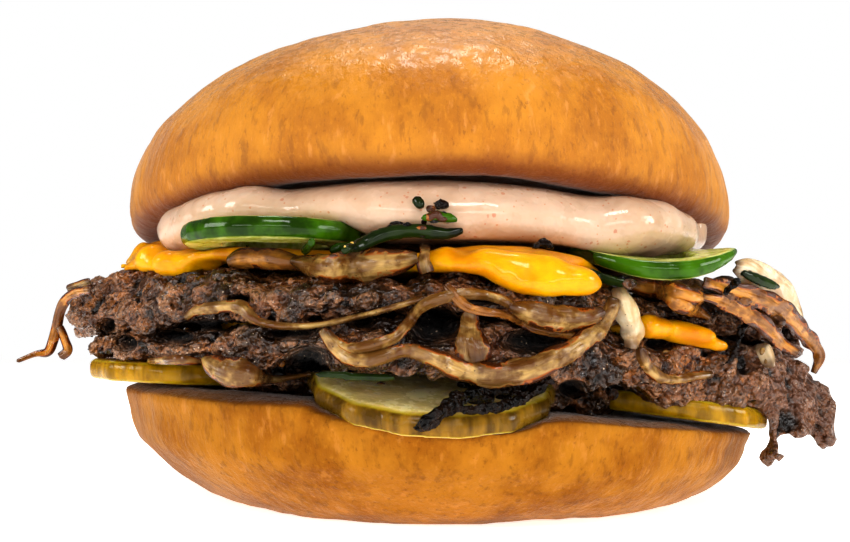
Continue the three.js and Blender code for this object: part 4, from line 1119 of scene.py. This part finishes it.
# %% [markdown]
# ## The strips at the two sides
# At the sides a ray through the photo passes the food, or meets it far behind. So these strips also list their
# places in y, in millimetres, from the first knot to the last. They hang free between the lumps, as fried onion
# does.

# %% Strips at the two sides
SIDES = {
    "onion_petal_tall": (clear_onion, 1.6, (-44, -41, -37, -32, -28, -25), [
        (733, 266, 4), (747, 271, 14), (762, 285, 21), (778, 299, 20), (792, 314, 11), (799, 323, 4)],
        {"wave": 0.12}),
    "onion_edge_right": (brown_onion, 0.3, (-50, -47, -45, -43, -40, -36, -32, -28, -25, -25), [
        (703, 282, 5), (722, 287, 8), (741, 293, 10), (760, 299, 11), (778, 308, 11.5), (792, 320, 10.5),
        (803, 333, 8.5), (814, 345, 7), (819, 358, 5), (813, 373, 3)], {"wave": 0.8, "twist": 12}),
    "onion_strand_right": (brown_onion, 0.3, (-49, -47, -45, -43, -40, -36, -34), [
        (700, 296, 3), (720, 301, 6), (738, 309, 8), (754, 318, 9), (768, 329, 8.5), (781, 343, 7),
        (798, 353, 4)], {"wave": 0.8, "twist": -12}),
    "onion_edge_left": (brown_onion, 0.8, (-33, -28, -25, -23, -22, -22, -23, -25, -27), [
        (92, 290, 3.5), (78, 292, 4.5), (67, 299, 4.5), (60, 313, 4.5), (57, 328, 4.5), (53, 342, 5),
        (48, 352, 4), (36, 354, 2), (18, 361, 1)], {"wave": 0.5}),
    "onion_fold_left": (brown_onion, 0.7, (-24, -23, -23, -23), [
        (60, 326, 3), (65, 339, 4), (68, 350, 4.5), (61, 357, 4)], {}),
    "onion_tip_left": (pale_onion, 0.5, (-25, -27, -30), [(68, 289, 3), (78, 286, 4.5), (91, 282, 4)], {}),
}
for number, (name, (finish, cup, deep, knots, more)) in enumerate(SIDES.items()):
    strip = lay_strip(name, None, knots, cup=cup, deep=deep, seed=40 + number, **more)
    serve_onion(strip, finish)
print("side strips", len(SIDES))

# %% [markdown]
# ## Strips at the back
# Some strips lie at the back, where no photo shows them. These keep the shape of their solids, and get the same
# finish. The finish needs the distance along and across a strip. A solid has no such numbers, so they are measured
# over the skin: first the far end, then the way from it, then the widest direction in short stretches.

# %% Along and across a strip
def walk(lengths, a, b, count, start):
    """The shortest way over the edges from one point to every other."""
    far = np.full(count, np.inf)
    far[start] = 0
    while True:
        before = far.copy()
        np.minimum.at(far, b, far[a] + lengths)
        np.minimum.at(far, a, far[b] + lengths)
        if np.array_equal(before, far):
            return np.where(np.isfinite(far), far, 0)

def store_strip(piece):
    points, edges = points_of(piece), edges_of(piece)
    a, b = edges[:, 0], edges[:, 1]
    lengths = np.linalg.norm(points[a] - points[b], axis=1)
    first = walk(lengths, a, b, len(points), 0).argmax()
    along = walk(lengths, a, b, len(points), first)
    stations = max(4, int(along.max() / (2 * MM)))
    slot = np.minimum((along / along.max() * stations).astype(int), stations - 1)
    count = np.maximum(np.bincount(slot, minlength=stations), 1)
    centre = np.stack([np.bincount(slot, points[:, i], stations) / count for i in range(3)], axis=1)
    place = (np.arange(stations) + 0.5) / stations * along.max()
    middle = np.stack([np.interp(along, place, centre[:, i]) for i in range(3)], axis=1)
    way = np.gradient(centre, axis=0)
    way /= np.maximum(np.linalg.norm(way, axis=1, keepdims=True), 1e-9)
    offset = points - middle
    flat, last = np.zeros_like(centre), None
    for i in range(stations):
        own = offset[slot == i]
        own = own - np.outer(own @ way[i], way[i])
        wide = np.linalg.eigh(own.T @ own)[1][:, -1] if len(own) > 3 else last
        if last is not None and wide @ last < 0:
            wide = -wide
        flat[i] = last = wide
    wide = np.stack([np.interp(along, place, flat[:, i]) for i in range(3)], axis=1)
    thin = np.cross(np.stack([np.interp(along, place, way[:, i]) for i in range(3)], axis=1), wide)
    across, through = (offset * wide).sum(axis=1), (offset * thin).sum(axis=1)
    reach = np.array([np.abs(across[slot == i]).max(initial=0.5 * MM) for i in range(stations)])
    store(piece, "strip", np.stack([along, across, through], axis=1))
    store(piece, "edge", np.abs(across) / np.interp(along, place, reach))
    store(piece, "tip", np.minimum(along, along.max() - along) / MM)

# %% [markdown]
# ## The back strips dressed
# These could be laid again like the front ones, but their solids already lie well. They only get a finer and
# slightly fuller skin, and the colours of the front.

# %% Strips of the back
BROWN_STRIPS = ("onion_petal_back_left", "onion_strand_back_right")
others = [n for n in nodes if n.startswith("onion_") and n != "onion_bed" and n not in {**FRONT, **SIDES}]
for name in others:
    strip = copy_of(name)
    soft_skin(strip, voxel=0.3, rounds=5)
    swell(strip, height=0.25)
    store_strip(strip)
    serve_onion(strip, brown_onion if name in BROWN_STRIPS else pale_onion)
print("other strips", len(others))

# %% [markdown]
# ## Charred bits
# Some scraps of crust and onion burnt to charcoal. Char is black and rough, yet it glints, because tiny facets of
# it face the light. A strong bump under a thin gloss gives that. The crust on the front pickle is a row of small
# lumps, as in the photo.

# %% Charred bits
char, tree, shader = material("char")
place = here(tree)
grain = noise(tree, place, 1.0, 1.5, 0.5)
base = over(tree, mottle(tree, place, 2.5, 1.6), colour("040201"), colour("1e0e06"))
feed(tree, shader, color=base, normal=bump(tree, grain, 1.8, 1.0))
feed(tree, shader, rough=spread(tree, grain, 0.35, 0.65, 0.06, 0.22))
fixed(shader, specular=0.22)
CRUST_DEEP = 1.2
CRUST = {
    "charred_crust_front": [
        (464, 386, 9, 6), (458, 394, 9, 6), (449, 402, 9, 6), (440, 410, 9, 6), (430, 417, 9, 6),
        (424, 424, 8, 6), (474, 392, 10, 6), (486, 397, 11, 6), (474, 403, 8, 6), (467, 410, 7, 5),
        (458, 405, 5, 4)],
    "charred_crust_arm": [
        (506, 398, 13, 6), (522, 394, 14, 5), (538, 388, 12, 5), (550, 382, 7, 4), (494, 404, 9, 5)],
}
crust_ground = tree_of(nodes["charred_crust_front"], nodes["charred_crust_arm"], nodes["pickle_front"])
for name in [n for n in nodes if n.startswith("charred_")]:
    bit = copy_of(name)
    for lump in CRUST.get(name, ()):
        join_lump(bit, crust_ground, *lump, deep=CRUST_DEEP, sunk=0.1)
    soft_skin(bit, voxel=0.35, rounds=2)
    raise_skin(bit, crumbs, height=-0.9, level=0.45)
    raise_skin(bit, grit, height=0.3)
    serve(bit, char)
print("charred pieces", sum(n.startswith("charred") for n in served))

# %% [markdown]
# ## Crumbs and flakes
# Small bits of crust, pepper seeds and onion fall between the big pieces. Each is a lump with an uneven skin that
# lies on the nearest food behind its place in the photo. Scattering them by chance would be quicker, but the eye
# knows where bits gather. Bits of the same food are joined in one piece.

# %% Bits
BITS = {
    "crust_bits": (meat, "meat", [
        (629, 284, 8, 6), (604, 292, 5, 4), (560, 298, 5, 3), (300, 372, 6, 4), (380, 384, 6, 3),
        (597, 396, 8, 6), (612, 394, 7, 7), (460, 280, 6, 4), (452, 276, 5, 3), (733, 344, 6, 4),
        (242, 283, 5, 3)]),
    "burnt_flakes": (char, "char", [
        (438, 208, 4, 3), (444, 213, 4, 3), (434, 221, 6, 3), (424, 222, 4, 4), (398, 223, 9, 3),
        (408, 225, 6, 3), (390, 226, 4, 2), (424, 236, 6, 2), (286, 356, 3, 2), (302, 366, 4, 2),
        (318, 372, 5, 2), (741, 329, 4, 6), (736, 352, 3, 7), (246, 246, 4, 2), (520, 298, 4, 2)]),
    "onion_bits": (pale_onion, "onion", [
        (666, 352, 5, 3), (675, 350, 5, 3), (671, 356, 4, 2), (294, 384, 4, 2), (763, 352, 4, 6),
        (766, 361, 3, 4)]),
    "golden_bits": (brown_onion, "brown_onion", [
        (431, 209, 6, 5), (436, 214, 7, 5), (442, 219, 6, 4), (429, 217, 5, 5), (448, 223, 5, 2),
        (422, 228, 7, 3), (282, 363, 4, 5), (600, 318, 3, 2), (642, 366, 4, 3)]),
    "pepper_seeds": (seed_skin, "onion", [
        (352, 243, 3, 2.2), (345, 247, 2.6, 2), (338, 250, 2.4, 1.8), (455, 236, 2, 1.4), (668, 262, 2, 1.4)]),
}
whole = tree_of(*[bpy.data.objects[n] for n in served])
for name, (finish, slot, places) in BITS.items():
    heap = bpy.data.objects.new(name, bpy.data.meshes.new(name))
    bpy.context.scene.collection.objects.link(heap)
    lain = sum(join_lump(heap, whole, u, v, wide, high, sunk=0.4) for u, v, wide, high in places)
    soft_skin(heap, voxel=0.28, rounds=2)
    raise_skin(heap, crumbs, height=-0.35, level=0.45)
    for key, value in (("relief", 0.1), ("gap", 0), ("edge", 0.66 if name == "golden_bits" else 0.3), ("tip", 5)):
        store(heap, key, np.full(len(heap.data.vertices), value))
    store(heap, "strip", points_of(heap))
    serve(heap, finish, in_cad=False)
    print(name, lain)

# %% [markdown]
# ## The table
# The burger stands on plain white paper. The floor is flat and wide, and glows a little, so that it meets the
# white room without a line and still takes the soft shadow under the bun.

# %% Floor
bpy.ops.object.select_all(action="DESELECT")
bpy.ops.mesh.primitive_plane_add(size=6, location=(0, 0, 0))
floor = bpy.context.active_object
floor.name = "floor"
paper, tree, shader = material("pale_paper")
weave = noise(tree, here(tree), 1.5, 3.0)
feed(tree, shader, color=over(tree, weave, colour("f4f3f1"), colour("fbfaf8")))
fixed(shader, rough=0.8, specular=0.1, glow=0.75)
floor.data.materials.append(paper)
print("floor", floor.name)
